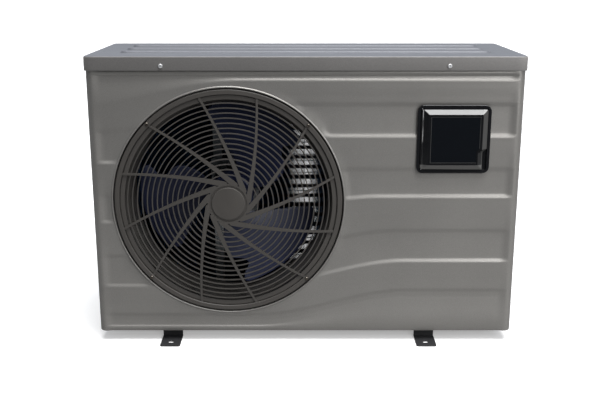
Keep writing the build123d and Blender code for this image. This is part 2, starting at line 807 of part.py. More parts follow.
face_plate = -158.0
button_z = window_z - 40
button_names = ("power", "mode", "timer", "down", "up")
button_places = [window_x - 48 + 24 * index for index in range(len(button_names))]
with BuildPart() as controller_housing:
    block(window_x - 70, window_x + 70, face_plate, face_plate + 24,
          window_z - 64, window_z + 64)
    fillet(controller_housing.edges().filter_by(Axis.Y), radius=5)
    block(window_x - 67, window_x + 67, face_plate + 3, face_plate + 21,
          window_z - 61, window_z + 61, Mode.SUBTRACT)
    block(window_x - 50, window_x + 50, face_plate - 1, face_plate + 4,
          window_z - 16, window_z + 50, Mode.SUBTRACT)
    for x in button_places:
        endwise(x, face_plate - 1, face_plate + 4, button_z, 7.3, Mode.SUBTRACT)
    block(window_x - 76.5, window_x - 70, face_plate, face_plate + 3,
          window_z - 20, window_z + 20)
    block(window_x + 70, window_x + 76.5, face_plate, face_plate + 3,
          window_z - 20, window_z + 20)
    # keeps clear of the bezel's spigot, which surrounds this tray
    with BuildSketch(facing_front(face_plate - 1)):
        with Locations((window_x, window_z)):
            RectangleRounded(152.4, 140.4, 9)
            RectangleRounded(131, 119, 5, mode=Mode.SUBTRACT)
    extrude(amount=-4.2, mode=Mode.SUBTRACT)
finish(controller_housing, "controller_housing")

with BuildPart() as display_panel:
    block(window_x - 49.7, window_x + 49.7, face_plate - 0.6, face_plate + 3,
          window_z - 15.7, window_z + 49.7)
    block(window_x - 56, window_x + 56, face_plate + 3, face_plate + 5,
          window_z - 22, window_z + 56)
finish(display_panel, "display_panel")

for index, button_name in enumerate(button_names):
    x = button_places[index]
    with BuildPart() as button:
        endwise(x, face_plate - 2.6, face_plate + 5, button_z, 7.0)
        fillet(button.faces().sort_by(Axis.Y)[0].edges(), radius=1.0)
        endwise(x, face_plate + 3.3, face_plate + 5, button_z, 8.8)
    finish(button, f"button_{button_name}")

# ---- Coil: fin plates on one serpentine tube, bent round the left rear corner -------------------
coil_thick = 34.0
coil_left = -454.0
coil_back = 158.0
coil_right = 167.0
coil_front = -112.0
coil_bottom = foot_height + SHEET + 4
coil_top = 586.0
fin_pitch = 14.0
tube_radius = 4.8
tube_levels = 22
tube_pitch = 25.4
tube_low = 42.0
rear_line = coil_back - coil_thick / 2
left_line = coil_left + coil_thick / 2
bend_radius = 33.0

with BuildPart() as evaporator_fins:
    rear_start = left_line + bend_radius
    rear_fins = int((coil_right - 4 - rear_start) // fin_pitch)
    for fin in range(rear_fins + 1):
        x = rear_start + fin * fin_pitch
        block(x, x + 0.6, coil_back - coil_thick, coil_back, coil_bottom, coil_top)
    side_fins = int((rear_line - bend_radius - coil_front - 4) // fin_pitch)
    for fin in range(side_fins + 1):
        y = rear_line - bend_radius - fin * fin_pitch
        block(coil_left, coil_left + coil_thick, y - 0.6, y, coil_bottom, coil_top)
finish(evaporator_fins, "evaporator_fins")

half_pitch = tube_pitch / 2
return_bend = ((0, 0), (half_pitch, 0), (half_pitch, tube_pitch), (0, tube_pitch))
with BuildPart() as evaporator_tubes:
    for row in range(tube_levels):
        z = tube_low + row * tube_pitch
        tube_run(
            [(coil_right + 5, rear_line, z), (left_line, rear_line, z),
             (left_line, coil_front - 5, z)],
            bend_radius, tube_radius,
        )
    for row in range(tube_levels - 1):
        z = tube_low + row * tube_pitch
        if row % 2:
            ends = [(coil_right + 5 + out, rear_line, z + up)
                    for out, up in return_bend]
        else:
            ends = [(left_line, coil_front - 5 - out, z + up)
                    for out, up in return_bend]
        tube_run(ends, tube_pitch / 2 - 0.1, tube_radius)
finish(evaporator_tubes, "evaporator_tubes")

with BuildPart() as tube_sheets:
    block(coil_right, coil_right + 1.5, coil_back - coil_thick - 4, coil_back + 4,
          foot_height + SHEET, coil_top + 4)
    block(coil_left - 4, coil_left + coil_thick + 4, coil_front - 1.5, coil_front,
          foot_height + SHEET, coil_top + 4)
finish(tube_sheets, "tube_sheets")

# ---- Compressor side --------------------------------------------------------------------------
partition_x = 172.0
with BuildPart() as partition_plate:
    block(partition_x, partition_x + SHEET, -163, 118, foot_height + SHEET, 650)
    block(partition_x, partition_x + 14, -163, -163 + SHEET, 60, 640)
finish(partition_plate, "partition_plate")

compressor_x = 250.0
compressor_y = -5.0
pan_floor = foot_height + SHEET
with BuildPart() as compressor_shell:
    upright(compressor_x, compressor_y, 62, 300, 62)
    fillet(compressor_shell.edges().filter_by(GeomType.CIRCLE), radius=22)
    upright(compressor_x, compressor_y, 90, 272, 58, Mode.SUBTRACT)
    with BuildSketch(level(58)):
        with Locations((compressor_x, compressor_y)):
            RectangleRounded(130, 130, 22)
    extrude(amount=4)
    upright(compressor_x, compressor_y, 62, 84, 42)
    for x in (-50, 50):
        for y in (-50, 50):
            upright(compressor_x + x, compressor_y + y, 57, 63, 5.0, Mode.SUBTRACT)
    upright(compressor_x + 18, compressor_y + 35, 290, 312, 7)
    upright(compressor_x, compressor_y, 84, 98, 10)
    upright(compressor_x, compressor_y, 88, 100, 8.05, Mode.SUBTRACT)
finish(compressor_shell, "compressor_shell")

with BuildPart() as compressor_rotor:
    upright(compressor_x, compressor_y, 89, 230, 8)
    upright(compressor_x, compressor_y, 110, 190, 36)
    upright(compressor_x + 6, compressor_y, 205, 225, 24)
finish(compressor_rotor, "compressor_rotor")

with BuildPart() as compressor_feet:
    for x in (-50, 50):
        for y in (-50, 50):
            upright(compressor_x + x, compressor_y + y, pan_floor, 58, 12)
            upright(compressor_x + x, compressor_y + y, 58, 66, 4.9)
            upright(compressor_x + x, compressor_y + y, 62, 66, 9)
finish(compressor_feet, "compressor_feet")

accumulator_x = 215.0
accumulator_y = 100.0
with BuildPart() as accumulator:
    upright(accumulator_x, accumulator_y, 70, 250, 27)
    fillet(accumulator.edges().filter_by(GeomType.CIRCLE), radius=14)
    upright(accumulator_x, accumulator_y, 72, 248, 22, Mode.SUBTRACT)
    upright(accumulator_x, accumulator_y, pan_floor, 71, 8)
finish(accumulator, "accumulator")

valve_z = 380.0
with BuildPart() as four_way_valve:
    crosswise(compressor_x - 50, compressor_x + 50, compressor_y, valve_z, 16)
    fillet(four_way_valve.edges().filter_by(GeomType.CIRCLE), radius=5)
    for offset in (-30, 0, 30):
        upright(compressor_x + offset, compressor_y, valve_z - 34, valve_z, 7.5)
    upright(compressor_x, compressor_y, valve_z, valve_z + 26, 7.5)
    block(compressor_x - 18, compressor_x + 18, compressor_y - 40, compressor_y - 12,
          valve_z - 12, valve_z + 12)
finish(four_way_valve, "four_way_valve")

with BuildPart() as expansion_valve:
    crosswise(225, 255, rear_line, tube_low, 10)
    upright(240, rear_line, tube_low, tube_low + 26, 8)
finish(expansion_valve, "expansion_valve")

pipe_radius = 6.0
valve_low = valve_z - 34
coil_high = tube_low + (tube_levels - 1) * tube_pitch
with BuildPart() as refrigerant_pipes:
    tube_run([(268, 30, 312), (268, 30, 430), (250, -5, 430), (250, -5, valve_z + 26)],
             15, pipe_radius)
    tube_run([(250, -5, valve_low), (250, -5, 324), (accumulator_x, accumulator_y, 324),
              (accumulator_x, accumulator_y, 250)], 10, pipe_radius)
    tube_run([(280, -5, valve_low), (280, -5, 324), (335, -34, 324), (335, -34, 410),
              (exchanger_x, exchanger_y, 410), (exchanger_x, exchanger_y, 376)],
             10, pipe_radius)
    tube_run([(220, -5, valve_low), (220, -5, 322), (204, 112, 322), (204, 112, coil_high),
              (204, rear_line, coil_high), (coil_right + 5, rear_line, coil_high)],
             10, pipe_radius)
    tube_run([(coil_right + 5, rear_line, tube_low), (225, rear_line, tube_low)],
             10, pipe_radius)
    tube_run([(255, rear_line, tube_low), (290, rear_line, tube_low),
              (290, exchanger_y, 85), (exchanger_x - exchanger_radius, exchanger_y, 85)],
             10, pipe_radius)
finish(refrigerant_pipes, "refrigerant_pipes")

with BuildPart() as exchanger_shell:
    upright(exchanger_x, exchanger_y, pan_floor, 370, exchanger_radius)
    fillet(exchanger_shell.faces().sort_by(Axis.Z)[-1].edges(), radius=16)
    upright(exchanger_x, exchanger_y, pan_floor + 5, 352, exchanger_radius - 6, Mode.SUBTRACT)
    upright(exchanger_x, exchanger_y, 360, 376, 12)
finish(exchanger_shell, "exchanger_shell")

with BuildPart() as exchanger_coil:
    for turn in range(9):
        with Locations((exchanger_x, exchanger_y, 70 + 28 * turn)):
            Torus(52, 6.5)
    upright(exchanger_x + 52, exchanger_y, 70, 70 + 28 * 8, 7)
finish(exchanger_coil, "exchanger_coil")

# ---- Water tails and their union nuts ------------------------------------------------------------
socket_radius = 25.15
socket_length = 31.0
tail_start = exchanger_x + exchanger_radius + 0.2
tail_end = 548.0
for height, side_name in zip(union_heights, ("inlet", "outlet")):
    with BuildPart() as water_tail:
        crosswise(tail_start, tail_end, exchanger_y, height, 30)
        crosswise(500, 508, exchanger_y, height, 36)
        crosswise(541, tail_end, exchanger_y, height, 33)
        crosswise(tail_start - 1, tail_end + 1, exchanger_y, height, 21, Mode.SUBTRACT)
        crosswise(tail_end - socket_length, tail_end + 1, exchanger_y, height,
                  socket_radius, Mode.SUBTRACT)
    finish(water_tail, f"water_{side_name}_tail")
    with BuildPart() as union_nut:
        crosswise(508.5, 540.5, exchanger_y, height, 37)
        for lug in range(8):
            angle = math.radians(45 * lug)
            crosswise(510, 539, exchanger_y + 37 * math.cos(angle),
                      height + 37 * math.sin(angle), 4)
        crosswise(508, 541, exchanger_y, height, 30.4, Mode.SUBTRACT)
    finish(union_nut, f"union_nut_{side_name}")

# ---- Electrics -----------------------------------------------------------------------------------
box_low = 448.0
with BuildPart() as electrical_box:
    block(partition_x + SHEET + GAP, 472, -100, 98, box_low, 562)
    block(partition_x + SHEET + GAP + 1.5, 470.5, -98.5, 96.5, box_low + 1.5, 563, Mode.SUBTRACT)
    for x in (230, 420):
        for y in (-70, 60):
            upright(x, y, box_low, box_low + 14, 4)
finish(electrical_box, "electrical_box")

with BuildPart() as circuit_board:
    board_top = box_low + 15.6
    block(205, 445, -88, 78, box_low + 14, board_top)
    block(225, 285, -70, -20, board_top, board_top + 35)
    for x in (310, 345, 380):
        upright(x, -45, board_top, board_top + 42, 14)
    block(230, 300, 10, 60, board_top, board_top + 22)
    block(330, 430, 20, 60, board_top, board_top + 16)
finish(circuit_board, "circuit_board")

with BuildPart() as cable_glands:
    for y, z in gland_places:
        crosswise(cabinet_right - 12, cabinet_right + 14, y, z, 9.0)
        for seat_x in (cabinet_right, cabinet_right - SHEET - 5):
            with BuildSketch(facing_right(seat_x)):
                with Locations((y, z)):
                    RegularPolygon(13.5, 6)
            extrude(amount=5)
        crosswise(cabinet_right + 8, cabinet_right + 18, y, z, 11)
        crosswise(cabinet_right - 13, cabinet_right + 19, y, z, 5.0, Mode.SUBTRACT)
finish(cable_glands, "cable_glands")

# ---- Pressure gauge --------------------------------------------------------------------------------
gauge_y, gauge_z = gauge_place
with BuildPart() as gauge_body:
    crosswise(cabinet_right - 20, cabinet_right, gauge_y, gauge_z, 21)
    crosswise(cabinet_right, cabinet_right + 8, gauge_y, gauge_z, 26)
    fillet(gauge_body.faces().sort_by(Axis.X)[-1].edges(), radius=2)
    crosswise(cabinet_right + 1, cabinet_right + 9, gauge_y, gauge_z, 22, Mode.SUBTRACT)
    crosswise(cabinet_right, cabinet_right + 3.2, gauge_y, gauge_z, 1.2)
    crosswise(cabinet_right - 32, cabinet_right - 20, gauge_y, gauge_z, 5)
finish(gauge_body, "gauge_body")

with BuildPart() as gauge_needle:
    with BuildSketch(facing_right(cabinet_right + 2)):
        with BuildLine(Plane.XY.move(Location((gauge_y, gauge_z, 0), (0, 0, 225)))):
            Polyline((-6, 1.6), (17, 0.3), (17, -0.3), (-6, -1.6), close=True)
        make_face()
        with Locations((gauge_y, gauge_z)):
            Circle(3)
            Circle(1.25, mode=Mode.SUBTRACT)
    extrude(amount=1.0)
finish(gauge_needle, "gauge_needle")

with BuildPart() as gauge_lens:
    crosswise(cabinet_right + 5, cabinet_right + 6.8, gauge_y, gauge_z, 21.95)
finish(gauge_lens, "gauge_lens")
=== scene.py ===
import json
import math

import bpy
from mathutils import Matrix, Vector

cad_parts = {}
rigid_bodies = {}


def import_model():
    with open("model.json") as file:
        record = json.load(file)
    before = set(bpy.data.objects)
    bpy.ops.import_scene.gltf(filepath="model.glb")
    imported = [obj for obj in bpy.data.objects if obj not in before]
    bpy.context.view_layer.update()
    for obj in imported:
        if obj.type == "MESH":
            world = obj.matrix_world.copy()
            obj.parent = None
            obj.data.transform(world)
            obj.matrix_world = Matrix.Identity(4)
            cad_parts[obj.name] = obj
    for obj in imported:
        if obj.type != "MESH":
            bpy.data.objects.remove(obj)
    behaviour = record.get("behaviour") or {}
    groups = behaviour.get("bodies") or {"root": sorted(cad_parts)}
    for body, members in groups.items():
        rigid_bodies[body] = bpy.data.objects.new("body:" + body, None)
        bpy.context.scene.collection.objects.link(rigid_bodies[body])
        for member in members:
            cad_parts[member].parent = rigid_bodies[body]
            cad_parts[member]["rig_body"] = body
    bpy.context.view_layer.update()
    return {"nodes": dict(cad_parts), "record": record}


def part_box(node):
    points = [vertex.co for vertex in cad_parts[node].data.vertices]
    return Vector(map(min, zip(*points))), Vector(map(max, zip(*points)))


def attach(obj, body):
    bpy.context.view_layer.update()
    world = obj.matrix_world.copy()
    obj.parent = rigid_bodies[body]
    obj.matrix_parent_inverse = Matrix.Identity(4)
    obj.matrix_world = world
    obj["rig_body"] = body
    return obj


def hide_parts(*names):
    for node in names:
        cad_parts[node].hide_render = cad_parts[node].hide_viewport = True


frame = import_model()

nodes = frame["nodes"]

# ---------------------------------------------------------------------------------------
# The studio: a pale floor that runs to the horizon, a soft sky that is brighter behind
# the unit, one broad light from above and a softbox on the right. The floor and the sky
# look paler to the camera than they light the unit. The camera stands two metres in front,
# a little above the lid, and looks down.
# ---------------------------------------------------------------------------------------
bpy.ops.object.select_all(action="DESELECT")
floor_edge = -1.2  # the floor ends in front of the unit, short of the camera
bpy.ops.mesh.primitive_plane_add(size=120, location=(0, 60 + floor_edge, -0.0005))
floor = bpy.context.object
floor.name = "studio_floor"
floor_finish = bpy.data.materials.new("studio_floor")
floor_finish.use_nodes = True
floor_nodes = floor_finish.node_tree.nodes
floor_shader = floor_nodes["Principled BSDF"]
floor_shader.inputs["Roughness"].default_value = 0.7
floor_shader.inputs["Emission Color"].default_value = (1, 0.99, 0.985, 1)
floor_path = floor_nodes.new("ShaderNodeLightPath")  # paler to the eye than in reflections
for socket, unseen, seen in (("Base Color", 0.20, 0.86), ("Emission Strength", 0.0, 0.34)):
    floor_tone = floor_nodes.new("ShaderNodeMapRange")
    floor_tone.inputs["To Min"].default_value = unseen
    floor_tone.inputs["To Max"].default_value = seen
    floor_finish.node_tree.links.new(
        floor_path.outputs["Is Camera Ray"], floor_tone.inputs["Value"])
    floor_finish.node_tree.links.new(
        floor_tone.outputs["Result"], floor_shader.inputs[socket])
floor.data.materials.append(floor_finish)

sky = bpy.data.worlds.new("studio_sky")
bpy.context.scene.world = sky
sky.use_nodes = True
sky_nodes = sky.node_tree.nodes
sky_links = sky.node_tree.links
sky_light = sky_nodes["Background"]
sky_seen = sky_nodes.new("ShaderNodeBackground")
sky_seen.inputs["Color"].default_value = (1, 1, 1, 1)
sky_direction = sky_nodes.new("ShaderNodeTexCoord")
sky_axes = sky_nodes.new("ShaderNodeSeparateXYZ")
sky_ramp = sky_nodes.new("ShaderNodeMapRange")
sky_ramp.inputs["From Min"].default_value = -0.5
sky_ramp.inputs["From Max"].default_value = 0.8
sky_ramp.inputs["To Min"].default_value = 0.08
sky_ramp.inputs["To Max"].default_value = 0.50
sky_choice = sky_nodes.new("ShaderNodeMixShader")
sky_path = sky_nodes.new("ShaderNodeLightPath")
sky_links.new(sky_direction.outputs["Generated"], sky_axes.inputs[0])
sky_links.new(sky_axes.outputs["Y"], sky_ramp.inputs["Value"])
sky_links.new(sky_ramp.outputs["Result"], sky_light.inputs["Strength"])
sky_light.inputs["Color"].default_value = (0.86, 0.92, 1.0, 1)
sky_links.new(sky_path.outputs["Is Camera Ray"], sky_choice.inputs[0])
sky_links.new(sky_light.outputs[0], sky_choice.inputs[1])
sky_links.new(sky_seen.outputs[0], sky_choice.inputs[2])
sky_links.new(sky_choice.outputs[0], sky_nodes["World Output"].inputs["Surface"])


def lamp(name, kind, place, aim, energy, size):
    """A studio light at a place, turned to shine at a point."""
    light = bpy.data.lights.new(name, kind)
    light.energy = energy
    if kind == "SUN":
        light.angle = size
    else:
        light.shape = "RECTANGLE"
        light.size = size[0]
        light.size_y = size[1]
    holder = bpy.data.objects.new(name, light)
    bpy.context.scene.collection.objects.link(holder)
    holder.location = place
    holder.rotation_euler = (Vector(aim) - Vector(place)).to_track_quat("-Z", "Y").to_euler()


lamp("overhead", "SUN", (0.4, -0.6, 2.4), (0, 0, 0), 4.0, math.radians(40))
lamp("softbox_right", "AREA", (1.6, -2.1, 1.3), (0.3, -0.17, 0.35), 34, (1.5, 1.2))

camera_height = 0.8366
camera_pitch = math.radians(14.65)
camera = bpy.data.objects.new("camera", bpy.data.cameras.new("camera"))
bpy.context.scene.collection.objects.link(camera)
camera.data.lens = 52.8
camera.data.sensor_width = 36.0
camera.location = (0.004, -2.0735, camera_height)
camera.rotation_euler = (math.pi / 2 - camera_pitch, 0, 0)
bpy.context.scene.camera = camera
bpy.context.scene.view_settings.view_transform = "Standard"

# ---------------------------------------------------------------------------------------
# Front panel: one sheet of steel, pressed with four long waves, bent round the two front
# corners and powder coated in a metallic warm grey. Its fan opening has a rolled lip, and
# the controller sits in a cut-out at the upper right.
# ---------------------------------------------------------------------------------------


class Value:
    """A number that varies over a surface. Arithmetic on it adds Math nodes."""

    def __init__(self, finish, socket):
        self.finish = finish
        self.socket = socket

    def combine(self, operation, first, second=0.0):
        return self.finish.node("ShaderNodeMath", {"operation": operation}, {0: first, 1: second})

    def __add__(self, other):
        return self.combine("ADD", self, other)

    def __radd__(self, other):
        return self.combine("ADD", other, self)

    def __sub__(self, other):
        return self.combine("SUBTRACT", self, other)

    def __mul__(self, other):
        return self.combine("MULTIPLY", self, other)


class Finish:
    """One material: its node tree, its shader and the few nodes that patterns are made of."""

    def __init__(self, name, colour, roughness, metallic=0.0, **fixed):
        self.material = bpy.data.materials.new(name)
        self.material.use_nodes = True
        self.tree = self.material.node_tree
        self.shader = self.tree.nodes["Principled BSDF"]
        self.shader.inputs["Base Color"].default_value = (*colour, 1)
        self.shader.inputs["Roughness"].default_value = roughness
        self.shader.inputs["Metallic"].default_value = metallic
        for socket, amount in fixed.items():
            self.shader.inputs[socket.replace("_", " ")].default_value = amount
        self.place = self.node("ShaderNodeTexCoord", out="Object")

    def node(self, kind, settings=None, inputs=None, out=0):
        made = self.tree.nodes.new(kind)
        for setting, choice in (settings or {}).items():
            setattr(made, setting, choice)
        for socket, amount in (inputs or {}).items():
            if isinstance(amount, Value):
                self.tree.links.new(amount.socket, made.inputs[socket])
            else:
                made.inputs[socket].default_value = amount
        return Value(self, made.outputs[out])

    def noise(self, scale, detail=2.0, stretch=None):
        """Cloudy pattern from 0 to 1, with `scale` lumps to the metre."""
        place = self.place
        if stretch:
            place = self.node("ShaderNodeMapping", None, {"Vector": place, "Scale": stretch})
        inputs = {"Vector": place, "Scale": scale, "Detail": detail}
        return self.node("ShaderNodeTexNoise", None, inputs, "Fac")

    def cells(self, scale, out="Distance"):
        inputs = {"Vector": self.place, "Scale": scale}
        return self.node("ShaderNodeTexVoronoi", None, inputs, out)

    def step(self, value, low, high, start=0.0, end=1.0):
        """Ramps from start to end as value goes from low to high."""
        inputs = {"Value": value, "From Min": low, "From Max": high}
        inputs.update({"To Min": start, "To Max": end})
        return self.node("ShaderNodeMapRange", None, inputs)

    def blend(self, share, first, second):
        """A colour between two colours."""
        inputs = {0: share}
        for socket, colour in ((6, first), (7, second)):
            inputs[socket] = colour if isinstance(colour, Value) else (*colour, 1)
        return self.node("ShaderNodeMix", {"data_type": "RGBA"}, inputs, 2)

    def feed(self, socket, value):
        self.tree.links.new(value.socket, self.shader.inputs[socket])

    def bump(self, height, depth, strength=1.0):
        """Raises the surface by height, at most `depth` metres."""
        inputs = {"Height": height, "Distance": depth, "Strength": strength}
        self.feed("Normal", self.node("ShaderNodeBump", None, inputs, "Normal"))


def powder_coat(name, colour, grain, roughness, metallic, upper=None, level=0.0):
    """Powder coat: metal flake, a fine pebbled skin and a little dust in broad patches.
    Above `level` it can take a second colour, a painted reflection of the sky on the top faces."""
    coat = Finish(name, colour, roughness, metallic)
    base = tuple(colour)
    # above level the colour turns bluer: a painted reflection of the sky
    if upper:
        height = coat.node("ShaderNodeSeparateXYZ", None, {0: coat.place}, "Z")
        base = coat.blend(coat.step(height, level - 0.001, level), colour, upper)
    flake = coat.cells(grain * 1.6)
    patches = coat.noise(5.0, 3.0)
    pebbles = coat.noise(grain, 2.0)
    speck = coat.step(flake, 0.1, 0.7, 0.82, 1.12)
    shade = coat.step(patches, 0.3, 0.7, 0.95, 1.05) * speck
    colour_node = coat.node(
        "ShaderNodeVectorMath",
        {"operation": "SCALE"},
        {0: base, "Scale": shade},
    )
    coat.feed("Base Color", colour_node)
    coat.feed("Roughness", coat.step(pebbles, 0.2, 0.8, roughness - 0.06, roughness + 0.08))
    coat.bump(pebbles, 0.00022, 0.55)
    return coat.material


cabinet_paint = powder_coat("cabinet_paint", (0.30, 0.29, 0.275), 900, 0.42, 0.55)


def smooth(value, start, end):
    """0 before start, 1 after end, with a soft turn at both."""
    share = min(max((value - start) / (end - start), 0.0), 1.0)
    return share * share * (3 - 2 * share)


def settle(piece, body, *replaced, finish=None, slot=None):
    """Gives a finished piece its material and place in the frame."""
    if finish is not None:
        piece.data.materials.clear()
        piece.data.materials.append(finish)
    if replaced:
        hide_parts(*replaced)
    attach(piece, body)
    return piece


def apply_all(piece):
    """Applies every modifier on a piece, in order."""
    bpy.ops.object.select_all(action="DESELECT")
    bpy.context.view_layer.objects.active = piece
    piece.select_set(True)
    for modifier in list(piece.modifiers):
        bpy.ops.object.modifier_apply(modifier=modifier.name)


panel_low, panel_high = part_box("front_panel")
lid_low, lid_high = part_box("lid")
column_radius = 0.018
panel_skin = 0.0012
cabinet_front = -0.171
fan_centre = Vector((-0.156, 0, 0.332))
fan_opening = 0.258
window_centre = (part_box("controller_bezel")[0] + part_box("controller_bezel")[1]) / 2
wave_fall = 0.060  # how much lower each wave runs on the left of the fan


def wave_drop(x, height):
    """How far a wave line has fallen at x: the upper waves fall further to the left."""
    centre = 0.076 - 0.415 * (max(height - 0.1, 0) / 0.51) ** 2.2
    reach = 0.17 + 0.035 * (height - 0.1) / 0.51
    return wave_fall * (1 - smooth(x, centre - reach, centre + reach))


# Each line across the panel: its height at the right, how far it sits back from the
# crest, whether it falls to the left, and how many rows of faces lead up to it.
wave_lines = [
    (0.0250, 0.0030, False, 1),
    (0.0310, 0.0012, False, 2),
    (0.0560, 0.0012, False, 1),
    (0.1000, 0.0038, True, 4),
    (0.1090, 0.0043, True, 3),
    (0.1180, 0.0039, True, 3),
    (0.1310, 0.0020, True, 6),
    (0.1860, 0.0003, True, 6),
    (0.1915, 0.0000, True, 2),
    (0.2025, 0.0039, True, 8),
    (0.2080, 0.0042, True, 2),
    (0.2600, 0.0043, True, 3),
    (0.2740, 0.0019, True, 6),
    (0.3370, 0.0003, True, 6),
    (0.3425, 0.0000, True, 2),
    (0.3535, 0.0039, True, 8),
    (0.3590, 0.0042, True, 2),
    (0.4020, 0.0043, True, 3),
    (0.4160, 0.0019, True, 6),
    (0.4740, 0.0003, True, 6),
    (0.4795, 0.0000, True, 2),
    (0.4905, 0.0039, True, 8),
    (0.4960, 0.0042, True, 2),
    (0.5470, 0.0043, True, 3),
    (0.5600, 0.0019, True, 6),
    (0.5990, 0.0003, True, 6),
    (0.6040, 0.0000, True, 2),
    (0.6130, 0.0036, False, 7),
    (0.6155, 0.0038, False, 2),
    (0.6195, 0.0014, False, 4),
    (0.6235, 0.0010, False, 2),
    (0.6280, 0.0034, False, 4),
    (0.6565, 0.0034, False, 2),
]


def wave_rows(x):
    """Height and setback of every row of the panel at x, from its foot to its top."""
    rows = []
    for index, (height, setback, falls, count) in enumerate(wave_lines):
        level = height - (wave_drop(x, height) if falls else 0.0)
        if index == 2:
            level = min(level, 0.031 + 0.4 * (0.100 - wave_drop(x, 0.100) - 0.031))
        if index == 0:
            rows.append((level, setback))
            continue
        before_level, before_setback = rows[-1]
        for step in range(1, count + 1):
            share = step / count
            ease = share * share * (3 - 2 * share)
            rows.append((
                before_level + (level - before_level) * share,
                before_setback + (setback - before_setback) * ease,
            ))
    return rows


# The sheet's developed width: side return, corner bend, front, corner bend, side return.
flat_left = panel_low.x + column_radius
flat_right = panel_high.x - column_radius
side_return = panel_high.y - (cabinet_front + column_radius)
bend_length = column_radius * math.pi / 2
column_steps = [side_return * share for share in (0, 0.5, 0.9)]
column_steps += [side_return + bend_length * step / 10 for step in range(11)]
front_start = side_return + bend_length
front_width = flat_right - flat_left
front_steps = [front_start + front_width * step / 150 for step in range(1, 150)]
total = 2 * front_start + front_width
developed = column_steps + front_steps + [total - along for along in reversed(column_steps)]


def sheet_point(along, setback):
    """Where a point of the flat sheet ends up once it is bent, set back from its outside."""
    mirrored = along > total / 2
    if mirrored:
        along = total - along
    if along < side_return:
        x = panel_low.x + setback
        y = panel_high.y - along
    elif along < front_start:
        turn = (along - side_return) / column_radius
        reach = column_radius - setback
        x = flat_left - reach * math.cos(turn)
        y = cabinet_front + column_radius - reach * math.sin(turn)
    else:
        x = flat_left + along - front_start
        y = cabinet_front + setback
    if mirrored:
        x = panel_low.x + panel_high.x - x
    return x, y


row_count = len(wave_rows(0.0))
bpy.ops.object.select_all(action="DESELECT")
bpy.ops.mesh.primitive_grid_add(
    x_subdivisions=len(developed) - 1, y_subdivisions=row_count - 1, size=2
)
front_panel = bpy.context.object
front_panel.name = "front_panel_pressed"
columns = len(developed)
for vertex in front_panel.data.vertices:
    column = round((vertex.co.x + 1) / 2 * (columns - 1))
    row = round((vertex.co.y + 1) / 2 * (row_count - 1))
    along = developed[column]
    x_here, y_here = sheet_point(along, 0.0)
    level, setback = wave_rows(x_here)[row]
    inner = min(along, total - along)
    setback *= smooth(inner, front_start - 0.006, front_start + 0.014)
    from_fan = math.hypot(x_here - fan_centre.x, level - fan_centre.z)
    setback *= 1 - 0.6 * (1 - smooth(from_fan, fan_opening + 0.004, fan_opening + 0.016))
    x_here, y_here = sheet_point(along, setback)
    vertex.co = (x_here, y_here, level)


def round_cutter(centre, radius, y_from, y_to):
    """Cylinder along Y used to cut a round hole."""
    bpy.ops.object.select_all(action="DESELECT")
    bpy.ops.mesh.primitive_cylinder_add(
        vertices=160,
        radius=radius,
        depth=y_to - y_from,
        location=(centre.x, (y_from + y_to) / 2, centre.z),
        rotation=(math.pi / 2, 0, 0),
    )
    return bpy.context.object


def box_cutter(low, high, corner=0.0):
    """Box between two corners, with its edges along Y rounded."""
    bpy.ops.object.select_all(action="DESELECT")
    size = Vector(high) - Vector(low)
    bpy.ops.mesh.primitive_cube_add(size=1, location=(Vector(low) + Vector(high)) / 2)
    cutter = bpy.context.object
    cutter.scale = size
    bpy.ops.object.transform_apply(location=True, rotation=True, scale=True)
    if corner:
        bpy.ops.object.mode_set(mode="EDIT")
        bpy.ops.mesh.select_mode(type="EDGE")
        bpy.ops.mesh.select_all(action="DESELECT")
        bpy.ops.object.mode_set(mode="OBJECT")
        for edge in cutter.data.edges:
            a, b = (cutter.data.vertices[i].co for i in edge.vertices)
            edge.select = abs(a.y - b.y) > size.y / 2
        bpy.ops.object.mode_set(mode="EDIT")
        bpy.ops.mesh.bevel(offset=corner, segments=8)
        bpy.ops.object.mode_set(mode="OBJECT")
    return cutter


def cut(piece, cutter):
    """Takes the cutter's shape out of a piece, and removes the cutter."""
    bpy.context.view_layer.objects.active = piece
    trim = piece.modifiers.new("trim", "BOOLEAN")
    trim.operation = "DIFFERENCE"
    trim.solver = "EXACT"
    trim.object = cutter
    bpy.ops.object.select_all(action="DESELECT")
    piece.select_set(True)
    bpy.ops.object.modifier_apply(modifier=trim.name)
    bpy.data.objects.remove(cutter)


bpy.ops.object.mode_set(mode="EDIT")
bpy.ops.mesh.select_all(action="SELECT")
bpy.ops.mesh.normals_make_consistent(inside=False)
bpy.ops.object.mode_set(mode="OBJECT")
if front_panel.data.polygons[len(front_panel.data.polygons) // 2].normal.y > 0:
    front_panel.data.flip_normals()
thickness = front_panel.modifiers.new("thickness", "SOLIDIFY")
thickness.thickness = panel_skin
thickness.offset = -1
apply_all(front_panel)
cut(front_panel, round_cutter(fan_centre, fan_opening + 0.0005, -0.2, -0.14))
window_cut_low = window_centre - Vector((0.075, 0, 0.069))
window_cut_high = window_centre + Vector((0.075, 0, 0.069))
cut(front_panel, box_cutter(
    (window_cut_low.x, -0.2, window_cut_low.z), (window_cut_high.x, -0.14, window_cut_high.z), 0.009
))
bpy.ops.object.select_all(action="DESELECT")
front_panel.select_set(True)
bpy.context.view_layer.objects.active = front_panel
bpy.ops.object.shade_smooth_by_angle(angle=math.radians(35))


